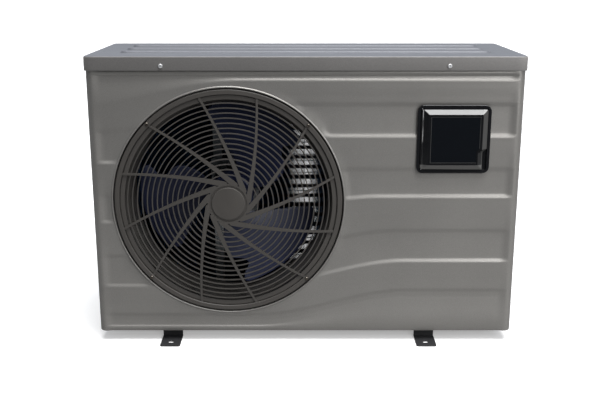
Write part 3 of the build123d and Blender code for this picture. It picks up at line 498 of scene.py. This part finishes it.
def spun(name, outline, centre, steps=160):
    """A closed ring about the Y axis: outline is (radius, along the axis) points."""
    bpy.ops.object.select_all(action="DESELECT")
    bpy.ops.mesh.primitive_circle_add(vertices=len(outline), radius=1, fill_type="NOTHING")
    ring = bpy.context.object
    ring.name = name
    for vertex, (radius, place) in zip(ring.data.vertices, outline):
        vertex.co = (radius, place, 0)
    bpy.ops.object.mode_set(mode="EDIT")
    bpy.ops.mesh.select_all(action="SELECT")
    bpy.ops.mesh.spin(steps=steps, angle=2 * math.pi, center=(0, 0, 0), axis=(0, 1, 0))
    bpy.ops.mesh.select_all(action="SELECT")
    bpy.ops.mesh.remove_doubles(threshold=1e-6)
    bpy.ops.mesh.normals_make_consistent(inside=False)
    bpy.ops.object.mode_set(mode="OBJECT")
    ring.data.transform(Matrix.Translation(centre))
    bpy.ops.object.shade_smooth_by_angle(angle=math.radians(35))
    return ring


def rounded(points, turns):
    """An outline with its corners rounded: each (point, radius) becomes a short arc."""
    outline = []
    count = len(points)
    for index in range(count):
        (x, y), radius = points[index]
        here = Vector((x, y))
        before = (Vector(points[index - 1][0]) - here)
        after = (Vector(points[(index + 1) % count][0]) - here)
        reach = min(radius, before.length * 0.45, after.length * 0.45)
        if reach <= 0:
            outline.append((x, y))
            continue
        start = here + before.normalized() * reach
        end = here + after.normalized() * reach
        for step in range(turns + 1):
            share = step / turns
            point = start.lerp(here, share).lerp(here.lerp(end, share), share)
            outline.append(tuple(point))
    return outline


lip_outline = rounded(
    [((0.2582, -0.1723), 0.0015), ((0.2600, -0.1724), 0.0008), ((0.2620, -0.1709), 0.0008),
     ((0.2617, -0.1702), 0.0004), ((0.2602, -0.1704), 0.0004), ((0.2598, -0.158), 0),
     ((0.2582, -0.158), 0)],
    3,
)
fan_lip = spun("fan_opening_lip", lip_outline, fan_centre)
bpy.ops.object.select_all(action="DESELECT")
fan_lip.select_set(True)
front_panel.select_set(True)
bpy.context.view_layer.objects.active = front_panel
bpy.ops.object.join()
settle(front_panel, "cabinet", "front_panel", finish=cabinet_paint, slot="cabinet_paint")

# ---------------------------------------------------------------------------------------
# Lid: a shallow tray of the same steel with a turned-down flange and three raised beads
# pressed along it for stiffness. Its coat is the same grey with a coarser grain, and its
# top is painted bluer: a painted reflection of the sky.
# ---------------------------------------------------------------------------------------
# the second, bluer colour on the top is a painted reflection of the sky
lid_paint = powder_coat(
    "lid_paint", (0.180, 0.174, 0.169), 650, 0.46, 0.3, (0.186, 0.192, 0.214), 0.6575)
lid_middle = (lid_low + lid_high) / 2
lid_half = (lid_high - lid_low) / 2
lid_top = 0.658
bead_half_length = 0.414
bead_half_width = 0.016
bead_rise = 0.0032
bead_groove = 0.0016  # the sheet is drawn down a little round the foot of each bead
bead_rows = (-0.080, 0.0, 0.080)


def bead_lift(x, y):
    """Height of the pressed beads above the lid's flat top."""
    along = max(abs(x - lid_middle.x) - (bead_half_length - bead_half_width), 0.0)
    away = min(math.hypot(along, y - row) for row in bead_rows)
    rise = bead_rise * (1 - smooth(away, bead_half_width - 0.0020, bead_half_width))
    drawn = 1 - smooth(abs(away - bead_half_width - 0.0016), 0.0008, 0.0020)
    return rise - bead_groove * drawn


def ladder(stops):
    """Positions along an edge from (position, steps before it) pairs."""
    places = [stops[0][0]]
    for position, count in stops[1:]:
        before = places[-1]
        places += [before + (position - before) * step / count for step in range(1, count + 1)]
    return places


lid_corner = 0.009
lid_stops = [(-lid_half.y + 0.004, 1)]
for row in bead_rows:
    for side in (-1, 1):
        edge = row + side * (bead_half_width - 0.0025)
        lid_stops += [(edge - 0.0065, 5), (edge + 0.0065, 26)]
lid_ys = ladder(lid_stops + [(lid_half.y - 0.004, 6)])
lid_xs = ladder([(-lid_half.x + 0.004, 1), (-0.420, 6), (-0.390, 12), (0.390, 60), (0.420, 12),
                 (lid_half.x - 0.004, 6)])
bpy.ops.object.select_all(action="DESELECT")
bpy.ops.mesh.primitive_grid_add(
    x_subdivisions=len(lid_xs) - 1, y_subdivisions=len(lid_ys) - 1, size=2
)
lid = bpy.context.object
lid.name = "lid_pressed"
for vertex in lid.data.vertices:
    column = round((vertex.co.x + 1) / 2 * (len(lid_xs) - 1))
    row = round((vertex.co.y + 1) / 2 * (len(lid_ys) - 1))
    x_here = lid_middle.x + lid_xs[column]
    y_here = lid_ys[row]
    vertex.co = (x_here, y_here, lid_top + bead_lift(x_here, y_here))
# the rim rolls over the edge and down into the flange
for drop, spread in ((0.0006, 0.0022), (0.0018, 0.0035), (0.0040, 0.0040), (0.0310, 0.0040)):
    bpy.ops.object.mode_set(mode="EDIT")
    bpy.ops.mesh.select_mode(type="EDGE")
    bpy.ops.mesh.select_all(action="SELECT")
    bpy.ops.mesh.region_to_loop()
    bpy.ops.mesh.extrude_edges_move()
    bpy.ops.object.mode_set(mode="OBJECT")
    for vertex in lid.data.vertices:
        if vertex.select:
            side_x = math.copysign(1, vertex.co.x - lid_middle.x)
            side_y = math.copysign(1, vertex.co.y)
            edge_x = lid_half.x - 0.004 + spread
            edge_y = lid_half.y - 0.004 + spread
            at_x = abs(vertex.co.x - lid_middle.x) > lid_half.x - 0.0045
            at_y = abs(vertex.co.y) > lid_half.y - 0.0045
            vertex.co.z = lid_top - drop
            if at_x:
                vertex.co.x = lid_middle.x + side_x * edge_x
            if at_y:
                vertex.co.y = side_y * edge_y
# the flange's vertical corners are rounded
for vertex in lid.data.vertices:
    out_x = abs(vertex.co.x - lid_middle.x) - (lid_half.x - lid_corner)
    out_y = abs(vertex.co.y) - (lid_half.y - lid_corner)
    if out_x > 0 and out_y > 0:
        reach = math.hypot(out_x, out_y)
        square = max(out_x, out_y)
        pull = square / reach
        vertex.co.x = lid_middle.x + math.copysign(
            lid_half.x - lid_corner + out_x * pull, vertex.co.x - lid_middle.x)
        vertex.co.y = math.copysign(lid_half.y - lid_corner + out_y * pull, vertex.co.y)
bpy.ops.object.mode_set(mode="EDIT")
bpy.ops.mesh.select_all(action="SELECT")
bpy.ops.mesh.normals_make_consistent(inside=False)
bpy.ops.object.mode_set(mode="OBJECT")
if lid.data.polygons[0].normal.z < 0:
    lid.data.flip_normals()
thickness = lid.modifiers.new("thickness", "SOLIDIFY")
thickness.thickness = 0.0012
thickness.offset = -1
apply_all(lid)
bpy.ops.object.shade_smooth_by_angle(angle=math.radians(40))
settle(lid, "cabinet", "lid", finish=lid_paint, slot="lid_paint")

# ---------------------------------------------------------------------------------------
# Side panels, rear panel and service cover: folded steel sheets in the cabinet's paint,
# with their cut edges slightly rounded by the coat.
# ---------------------------------------------------------------------------------------


def softened(node, width, finish, segments=2):
    """A copy of a CAD node with its sharp edges rounded, standing for that node."""
    source = nodes[node]
    piece = bpy.data.objects.new(node + "_finished", source.data.copy())
    bpy.context.scene.collection.objects.link(piece)
    bpy.ops.object.select_all(action="DESELECT")
    bpy.context.view_layer.objects.active = piece
    piece.select_set(True)
    bpy.ops.object.mode_set(mode="EDIT")
    bpy.ops.mesh.select_all(action="SELECT")
    bpy.ops.mesh.remove_doubles(threshold=0.000002)
    bpy.ops.mesh.dissolve_limited(angle_limit=math.radians(1.0))
    bpy.ops.object.mode_set(mode="OBJECT")
    if width:
        rounding = piece.modifiers.new("rounding", "BEVEL")
        rounding.width = width
        rounding.segments = segments
        rounding.limit_method = "ANGLE"
        rounding.angle_limit = math.radians(32)
        rounding.miter_outer = "MITER_ARC"
        apply_all(piece)
    bpy.ops.object.shade_smooth_by_angle(angle=math.radians(38))
    if width:
        flats = piece.modifiers.new("flats", "WEIGHTED_NORMAL")
        flats.keep_sharp = True
        apply_all(piece)
    body = source["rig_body"]
    slot_name = next(
        part["material_slot"] for part in frame["record"]["subparts"] if part["node"] == node
    )
    return settle(piece, body, node, finish=finish, slot=slot_name)


for node in ("left_side_panel", "right_side_panel", "rear_panel"):
    softened(node, 0.0003, cabinet_paint)
softened("service_cover", 0.0007, cabinet_paint, 3)

# ---------------------------------------------------------------------------------------
# Feet and base pan: bent strips in dark satin paint, bolted under a galvanised pan.
# ---------------------------------------------------------------------------------------
foot_paint = powder_coat("foot_paint", (0.030, 0.030, 0.032), 700, 0.42, 0.1)
for node in ("foot_rail_left", "foot_rail_right"):
    softened(node, 0.0005, foot_paint)


def galvanised_sheet():
    """Hot-dip zinc: crystals a centimetre across, each with its own shine."""
    zinc = Finish("galvanised_sheet", (0.52, 0.54, 0.55), 0.42, 0.9)
    crystals = zinc.cells(110, "Color")
    tone = zinc.node("ShaderNodeSeparateColor", None, {0: crystals})
    grime = zinc.noise(14, 4)
    zinc.feed("Base Color", zinc.blend(
        tone * 0.6 + grime * 0.4, (0.40, 0.42, 0.43), (0.60, 0.62, 0.63)))
    zinc.feed("Roughness", zinc.step(tone, 0.0, 1.0, 0.34, 0.52))
    zinc.bump(grime, 0.0002, 0.3)
    return zinc.material


galvanised = galvanised_sheet()
for node in ("base_pan", "partition_plate", "electrical_box", "tube_sheets", "motor_bracket"):
    softened(node, 0, galvanised)

# ---------------------------------------------------------------------------------------
# Screws and bolts: bright zinc cross-head screws in the lid and panels, duller ones in
# the grille, and hexagon bolts in the feet.
# ---------------------------------------------------------------------------------------


def plated(name, colour, roughness, metallic=1.0):
    """Plated or ground steel, with fine scuffs."""
    steel = Finish(name, colour, roughness, metallic)
    scuffs = steel.noise(420, 3)
    steel.feed("Roughness", steel.step(scuffs, 0.3, 0.7, roughness - 0.06, roughness + 0.1))
    tarnish = steel.noise(90, 2)
    dull = tuple(channel * 0.78 for channel in colour)
    steel.feed("Base Color", steel.blend(tarnish, colour, dull))
    steel.bump(scuffs, 0.0001, 0.3)
    return steel.material


bright_zinc = plated("bright_zinc", (0.80, 0.81, 0.82), 0.32, 0.4)
dull_zinc = plated("dull_zinc", (0.17, 0.15, 0.13), 0.38)
ground_steel = plated("ground_steel", (0.62, 0.62, 0.63), 0.3)
for node in ("lid_screws", "panel_screws"):
    softened(node, 0.0003, bright_zinc)
softened("foot_bolts", 0.0003, bright_zinc)
softened("grille_screws", 0.0003, dull_zinc)

# ---------------------------------------------------------------------------------------
# Fan grille: one moulding in dark warm grey, matt from its spark-eroded mould, with a
# flat cap snapped over its hub.
# ---------------------------------------------------------------------------------------


def moulded(name, colour, roughness, grain=1200, depth=0.00008):
    """Moulded plastic with a fine eroded skin and faint flow shading."""
    plastic = Finish(name, colour, roughness)
    skin = plastic.noise(grain, 2)
    flow = plastic.noise(12, 2)
    pale = tuple(channel * 1.18 + 0.002 for channel in colour)
    plastic.feed("Base Color", plastic.blend(flow, colour, pale))
    plastic.feed("Roughness", plastic.step(skin, 0.2, 0.8, roughness - 0.07, roughness + 0.07))
    plastic.bump(skin, depth, 0.5)
    return plastic.material


grille_plastic = moulded("grille_plastic", (0.062, 0.057, 0.052), 0.5)
nodes["fan_grille"].data.materials.clear()
nodes["fan_grille"].data.materials.append(grille_plastic)
softened("grille_hub_cap", 0, grille_plastic)

# ---------------------------------------------------------------------------------------
# Shroud and motor: a black bell-mouth moulding, and an enamelled motor with cast ribs.
# ---------------------------------------------------------------------------------------
black_plastic = moulded("black_plastic", (0.022, 0.022, 0.023), 0.42)
shroud_plastic = moulded("shroud_plastic", (0.060, 0.056, 0.052), 0.48)
black_enamel = moulded("black_enamel", (0.016, 0.016, 0.018), 0.3, 500, 0.00006)
softened("fan_shroud", 0, shroud_plastic)
softened("motor_housing", 0.0006, black_enamel)
for node in ("motor_bearings", "rotor_shaft", "fan_nut"):
    softened(node, 0.0003, ground_steel)

# ---------------------------------------------------------------------------------------
# Fan: three sickle blades moulded with their hub in a satin navy grey. Each blade twists
# and hollows slightly, and its trailing edge has a stepped notch against noise.
# ---------------------------------------------------------------------------------------
fan_plastic = moulded("fan_plastic", (0.019, 0.025, 0.066), 0.36, 900, 0.00005)
hub_radius = 0.052
tip_radius = 0.2105
blade_middle = -0.083
blade_slant = 0.065  # metres deeper for each radian of turn, at the tip

# Along a blade: radius, and the angles of its trailing and leading edges in degrees.
blade_stations = [
    (0.046, 262.0, 308.0), (0.080, 259.0, 325.0), (0.104, 260.0, 334.5),
    (0.120, 262.5, 338.5), (0.135, 266.3, 341.5), (0.146, 271.5, 343.0),
    (0.152, 279.0, 344.0), (0.158, 282.0, 345.0), (0.168, 283.6, 346.0),
    (0.178, 281.5, 347.0), (0.190, 279.0, 347.5), (0.200, 278.5, 346.0),
    (0.2065, 279.0, 341.5), (0.2105, 281.0, 334.0),
]


def blade_edges(radius):
    """Angles of a blade's trailing and leading edges at a radius, eased between stations."""
    place = 0
    while place < len(blade_stations) - 2 and radius > blade_stations[place + 1][0]:
        place += 1
    near = [blade_stations[min(max(place + step, 0), len(blade_stations) - 1)]
            for step in (-1, 0, 1, 2)]
    before, start, end, after = near
    span = end[0] - start[0]
    share = min(max((radius - start[0]) / span, 0.0), 1.0)
    angles = []
    for column in (1, 2):
        first = (end[column] - before[column]) / max(end[0] - before[0], span) * span
        last = (after[column] - start[column]) / max(after[0] - start[0], span) * span
        rise = end[column] - start[column]
        angles.append(
            start[column]
            + share * first
            + share**2 * (3 * rise - 2 * first - last)
            + share**3 * (first + last - 2 * rise)
        )
    return angles


def blade_point(radius, angle, turn):
    share = (radius - hub_radius) / (tip_radius - hub_radius)
    slant = blade_slant * (0.55 + 0.45 * share)
    swing = math.radians(angle - 308)
    hollow = 0.010 * (1 - (swing / 0.6) ** 2) * share
    heading = math.radians(angle + turn)
    return (
        fan_centre.x + radius * math.cos(heading),
        blade_middle + slant * swing + hollow,
        fan_centre.z + radius * math.sin(heading),
    )


def fan_blade(turn):
    """One blade: a curved sheet between its two edges, given a moulded thickness."""
    bpy.ops.object.select_all(action="DESELECT")
    bpy.ops.mesh.primitive_grid_add(x_subdivisions=64, y_subdivisions=26, size=2)
    blade = bpy.context.object
    for vertex in blade.data.vertices:
        radius = 0.048 + (tip_radius - 0.048) * (vertex.co.x + 1) / 2
        chord = (vertex.co.y + 1) / 2
        trailing, leading = blade_edges(radius)
        vertex.co = blade_point(radius, trailing + (leading - trailing) * chord, turn)
    bpy.ops.object.mode_set(mode="EDIT")
    bpy.ops.mesh.select_all(action="SELECT")
    bpy.ops.mesh.normals_make_consistent(inside=False)
    bpy.ops.object.mode_set(mode="OBJECT")
    thickness = blade.modifiers.new("thickness", "SOLIDIFY")
    thickness.thickness = 0.0028
    thickness.offset = 0
    thickness.use_even_offset = True
    rounding = blade.modifiers.new("rounding", "BEVEL")
    rounding.width = 0.0009
    rounding.segments = 2
    rounding.limit_method = "ANGLE"
    rounding.angle_limit = math.radians(60)
    apply_all(blade)
    return blade


hub_outline = rounded(
    [((0.0050, -0.108), 0), ((0.046, -0.112), 0.002), ((hub_radius, -0.110), 0.006),
     ((hub_radius, -0.060), 0.001), ((0.0490, -0.060), 0.001), ((0.0480, -0.104), 0.003),
     ((0.0130, -0.104), 0.002), ((0.0130, -0.062), 0.001), ((0.0050, -0.062), 0)],
    4,
)
fan_hub = spun("fan_hub", hub_outline, fan_centre, steps=72)
blades = [fan_blade(120 * index) for index in range(3)]
bpy.ops.object.select_all(action="DESELECT")
for blade in blades:
    blade.select_set(True)
fan_hub.select_set(True)
bpy.context.view_layer.objects.active = fan_hub
bpy.ops.object.join()
fan_hub.name = "fan_moulding"
bpy.ops.object.shade_smooth_by_angle(angle=math.radians(40))
settle(fan_hub, "fan", "fan_blades", finish=fan_plastic, slot="fan_plastic")

# ---------------------------------------------------------------------------------------
# Coil: hundreds of thin aluminium fins with a blue corrosion coat, pressed onto copper
# tubes, bent round the rear left corner of the cabinet.
# ---------------------------------------------------------------------------------------
fin_blue = Finish("fin_blue", (0.030, 0.110, 0.30), 0.36, 0.75)
fin_tone = fin_blue.noise(30, 3)
fin_blue.feed("Base Color", fin_blue.blend(fin_tone, (0.02, 0.08, 0.24), (0.06, 0.20, 0.42)))
fin_blue.feed("Roughness", fin_blue.step(fin_tone, 0.3, 0.7, 0.3, 0.46))

copper = Finish("copper_tube", (0.75, 0.36, 0.2), 0.26, 1.0)
copper_age = copper.noise(60, 4)
copper.feed("Base Color", copper.blend(copper_age, (0.80, 0.40, 0.24), (0.42, 0.20, 0.12)))
copper.feed("Roughness", copper.step(copper_age, 0.3, 0.7, 0.2, 0.42))

fins_low, fins_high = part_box("evaporator_fins")
fin_depth = 0.034
fin_pitch = 0.0018
fin_sheet = 0.00015
fin_wave = 0.0006  # how far each fin is corrugated to either side
fin_lean = -0.008
bend_radius = 0.033
bpy.ops.object.select_all(action="DESELECT")
bpy.ops.mesh.primitive_grid_add(x_subdivisions=1, y_subdivisions=5, size=1)
fin = bpy.context.object
fin.name = "fin_pack"
fin_height = fins_high.z - fins_low.z
fin_middle = (fins_high.z + fins_low.z) / 2
rear_start = fins_low.x + fin_depth / 2 + bend_radius
rear_count = int((fins_high.x - rear_start) / fin_pitch)
side_end = fins_high.y - fin_depth / 2 - bend_radius
side_count = int((side_end - fins_low.y) / fin_pitch)
stations = []
for index in range(rear_count + 1):
    place = Vector((rear_start + index * fin_pitch, fins_high.y - fin_depth / 2, fin_middle))
    stations.append((place, fin_lean))
for index in range(side_count + 1):
    place = Vector((fins_low.x + fin_depth / 2, side_end - index * fin_pitch, fin_middle))
    stations.append((place, math.pi / 2))
corner_count = int(bend_radius * math.pi / 2 / fin_pitch)
for index in range(1, corner_count):
    turn = math.pi / 2 * index / corner_count
    place = Vector((
        rear_start - bend_radius * math.sin(turn),
        side_end + bend_radius * math.cos(turn),
        fin_middle,
    ))
    stations.append((place, turn))
for vertex in fin.data.vertices:
    ripple = math.cos(math.pi * (vertex.co.y + 0.5) * 5) * fin_wave
    vertex.co = (ripple, vertex.co.y * fin_depth, vertex.co.x * fin_height)
thickness = fin.modifiers.new("thickness", "SOLIDIFY")
thickness.thickness = fin_sheet
thickness.offset = 0
apply_all(fin)
fin_master = fin.data.copy()
copies = []
for place, turn in stations:
    mesh = fin_master.copy()
    mesh.transform(Matrix.Translation(place) @ Matrix.Rotation(turn, 4, "Z"))
    copy = bpy.data.objects.new("fin", mesh)
    bpy.context.scene.collection.objects.link(copy)
    copies.append(copy)
bpy.ops.object.select_all(action="DESELECT")
bpy.data.objects.remove(fin)
for copy in copies:
    copy.select_set(True)
bpy.context.view_layer.objects.active = copies[0]
bpy.ops.object.join()
fin_pack = bpy.context.object
fin_pack.name = "fin_pack"
settle(fin_pack, "cabinet", "evaporator_fins", finish=fin_blue.material, slot="fin_aluminium")

for node in ("evaporator_tubes", "refrigerant_pipes", "four_way_valve", "expansion_valve"):
    softened(node, 0, copper.material)

# ---------------------------------------------------------------------------------------
# Coil guards and carry handles: black mouldings.
# ---------------------------------------------------------------------------------------
guard_rim = 0.008
guard_bar = 0.0024


def coil_guard(node, across, up):
    """The CAD node's frame and its upright and level bars, with rounded edges."""
    low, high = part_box(node)
    flat = 0 if high.x - low.x < high.y - low.y else 1
    wide = 1 - flat
    thick = high[flat] - low[flat]
    spans = []
    for axis, other, count in ((wide, 2, across), (2, wide, up)):
        first = low[axis] + guard_rim
        last = high[axis] - guard_rim
        for step in range(count + 1):
            place = first + (last - first) * step / count
            size = guard_bar
            if step in (0, count):
                place += guard_rim / 2 * (1 if step else -1)
                size = guard_rim
            centre = (low + high) / 2
            centre[axis] = place
            extent = Vector((0, 0, 0))
            extent[axis] = size
            extent[other] = high[other] - low[other] - (guard_rim if size == guard_bar else 0)
            extent[flat] = thick if size == guard_rim else thick * (0.7 if axis == 2 else 0.85)
            spans.append((centre, extent))
    bars = []
    for centre, extent in spans:
        bpy.ops.mesh.primitive_cube_add(size=1, location=centre, scale=extent)
        bars.append(bpy.context.object)
    bpy.ops.object.select_all(action="DESELECT")
    for bar in bars:
        bar.select_set(True)
    bpy.context.view_layer.objects.active = bars[0]
    bpy.ops.object.join()
    bpy.ops.object.transform_apply(location=True, rotation=True, scale=True)
    guard = bpy.context.object
    guard.name = node + "_finished"
    rounding = guard.modifiers.new("rounding", "BEVEL")
    rounding.width = 0.0005
    rounding.segments = 2
    apply_all(guard)
    bpy.ops.object.shade_smooth_by_angle(angle=math.radians(38))
    settle(guard, "cabinet", node, finish=black_plastic, slot="black_plastic")


coil_guard("left_coil_guard", 5, 30)
coil_guard("rear_coil_guard", 12, 38)
for node in ("carry_handle_left", "carry_handle_right"):
    softened(node, 0.0008, black_plastic, 3)

# ---------------------------------------------------------------------------------------
# Controller: a polished bezel, a polished bevelled cover with a smoked window, and behind
# it a tray with a dark display and five rubber buttons.
# ---------------------------------------------------------------------------------------


def polished(name, colour, roughness):
    """Polished black plastic or smoked glass, with faint wiping marks."""
    gloss = Finish(name, colour, roughness, 0.0, Coat_Roughness=0.03, Specular_IOR_Level=0.4)
    wipes = gloss.noise(30, 4, (1, 1, 3))
    gloss.feed("Roughness", gloss.step(wipes, 0.35, 0.75, roughness, roughness + 0.09))
    tint = tuple(channel * 1.5 + 0.001 for channel in colour)
    gloss.feed("Base Color", gloss.blend(wipes, colour, tint))
    gloss.feed("Coat Weight", gloss.step(wipes, 0.2, 0.8, 0.5, 0.3))
    return gloss.material


gloss_black = polished("gloss_black", (0.006, 0.006, 0.007), 0.12)
display_glass = polished("display_glass", (0.008, 0.010, 0.012), 0.08)
button_rubber = moulded("button_rubber", (0.24, 0.25, 0.26), 0.6)
softened("controller_bezel", 0.0003, gloss_black, 3)
softened("controller_housing", 0.0004, black_plastic)

# the cover's chamfers at the right and along the foot are painted greyer than its face: a painted
# reflection of the bright studio
cover_low, cover_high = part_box("controller_cover")
chamfer = 0.0112
cover_black = Finish("cover_black", (0.006, 0.006, 0.007), 0.14, 0.0, Coat_Weight=0.4)
cover_axes = ("ShaderNodeSeparateXYZ", None, {0: cover_black.place})
inside_right = cover_high.x - chamfer
inside_foot = cover_low.z + chamfer
right_chamfer_reflection = cover_black.step(
    cover_black.node(*cover_axes, "X"), inside_right, inside_right + 0.0004, 0.0, 0.5)
foot_chamfer_reflection = cover_black.step(
    cover_black.node(*cover_axes, "Z"), inside_foot, inside_foot - 0.0004)
# grey on the right and foot chamfers: the painted reflection
cover_black.feed("Base Color", cover_black.blend(
    right_chamfer_reflection + foot_chamfer_reflection, (0.006, 0.006, 0.007), (0.11, 0.108, 0.104)))
cover_wipes = cover_black.noise(30, 4, (1, 1, 3))
cover_black.feed("Roughness", cover_black.step(cover_wipes, 0.35, 0.75, 0.1, 0.2))
cover = softened("controller_cover", 0.0006, cover_black.material, 3)
cover_middle = (cover_low.z + cover_high.z) / 2
hinge_side = 0.0085  # the cover is a little shorter along its hinge, to clear the bezel
hinge_half_height = 0.0662
for vertex in cover.data.vertices:
    if vertex.co.x < cover_low.x + hinge_side:
        rise = vertex.co.z - cover_middle
        vertex.co.z = cover_middle + math.copysign(min(abs(rise), hinge_half_height), rise)

# a thin paler line round the window's edge is a painted highlight
window_low, window_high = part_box("cover_window")
window_middle = (window_low + window_high) / 2
window_half = (window_high - window_low) / 2
smoked_glass = Finish("smoked_glass", (0.003, 0.004, 0.006), 0.05, 0.0, Coat_Weight=0.3)
rim_highlight = 0.0
for axis, centre, half in (
    ("X", window_middle.x, window_half.x), ("Z", window_middle.z, window_half.z),
):
    offset = smoked_glass.node("ShaderNodeSeparateXYZ", None, {0: smoked_glass.place}, axis)
    offset = offset - centre
    offset = offset.combine("ABSOLUTE", offset)
    rim_highlight = rim_highlight + smoked_glass.step(offset, half - 0.0016, half - 0.0013)
# paler at the rim: the painted highlight
smoked_glass.feed("Base Color", smoked_glass.blend(
    rim_highlight, (0.003, 0.004, 0.006), (0.05, 0.05, 0.05)))
window_wipes = smoked_glass.noise(30, 4, (1, 1, 3))
smoked_glass.feed("Roughness", smoked_glass.step(window_wipes, 0.35, 0.75, 0.04, 0.11))
softened("cover_window", 0.0004, smoked_glass.material)
softened("cover_pins", 0, ground_steel)
softened("display_panel", 0.0004, display_glass)
for name in ("power", "mode", "timer", "down", "up"):
    softened("button_" + name, 0.0002, button_rubber)

# ---------------------------------------------------------------------------------------
# Compressor side: black enamelled vessels on rubber feet, the exchanger's plastic shell
# with its titanium coil, and the control board in its box.
# ---------------------------------------------------------------------------------------
soft_rubber = moulded("soft_rubber", (0.020, 0.020, 0.020), 0.7, 800)
board_green = moulded("board_green", (0.020, 0.110, 0.050), 0.4, 300)
titanium = plated("titanium", (0.50, 0.48, 0.46), 0.35)
for node in ("compressor_shell", "accumulator"):
    softened(node, 0.0008, black_enamel)
softened("compressor_rotor", 0.0004, ground_steel)
softened("compressor_feet", 0.0008, soft_rubber)
softened("exchanger_shell", 0.0008, black_plastic)
softened("exchanger_coil", 0, titanium)
softened("circuit_board", 0.0003, board_green)

# ---------------------------------------------------------------------------------------
# Water tails, union nuts and cable glands on the right side: grey pipe plastic.
# ---------------------------------------------------------------------------------------
pipe_plastic = moulded("pipe_plastic", (0.20, 0.205, 0.21), 0.38, 700)
for node in ("water_inlet_tail", "water_outlet_tail", "union_nut_inlet", "union_nut_outlet"):
    softened(node, 0.0008, pipe_plastic, 3)
softened("cable_glands", 0.0006, black_plastic)

# ---------------------------------------------------------------------------------------
# Pressure gauge: a polished case, a white dial with plain ticks, a red needle and a lens.
# ---------------------------------------------------------------------------------------
softened("gauge_body", 0.0004, bright_zinc)
needle_paint = moulded("needle_paint", (0.45, 0.02, 0.015), 0.4)
softened("gauge_needle", 0, needle_paint)
lens = Finish("gauge_lens", (0.9, 0.93, 0.95), 0.03, 0.0, Transmission_Weight=1.0, IOR=1.45)
lens_dust = lens.noise(80, 3)
lens.feed("Roughness", lens.step(lens_dust, 0.4, 0.8, 0.02, 0.10))
softened("gauge_lens", 0.0003, lens.material)
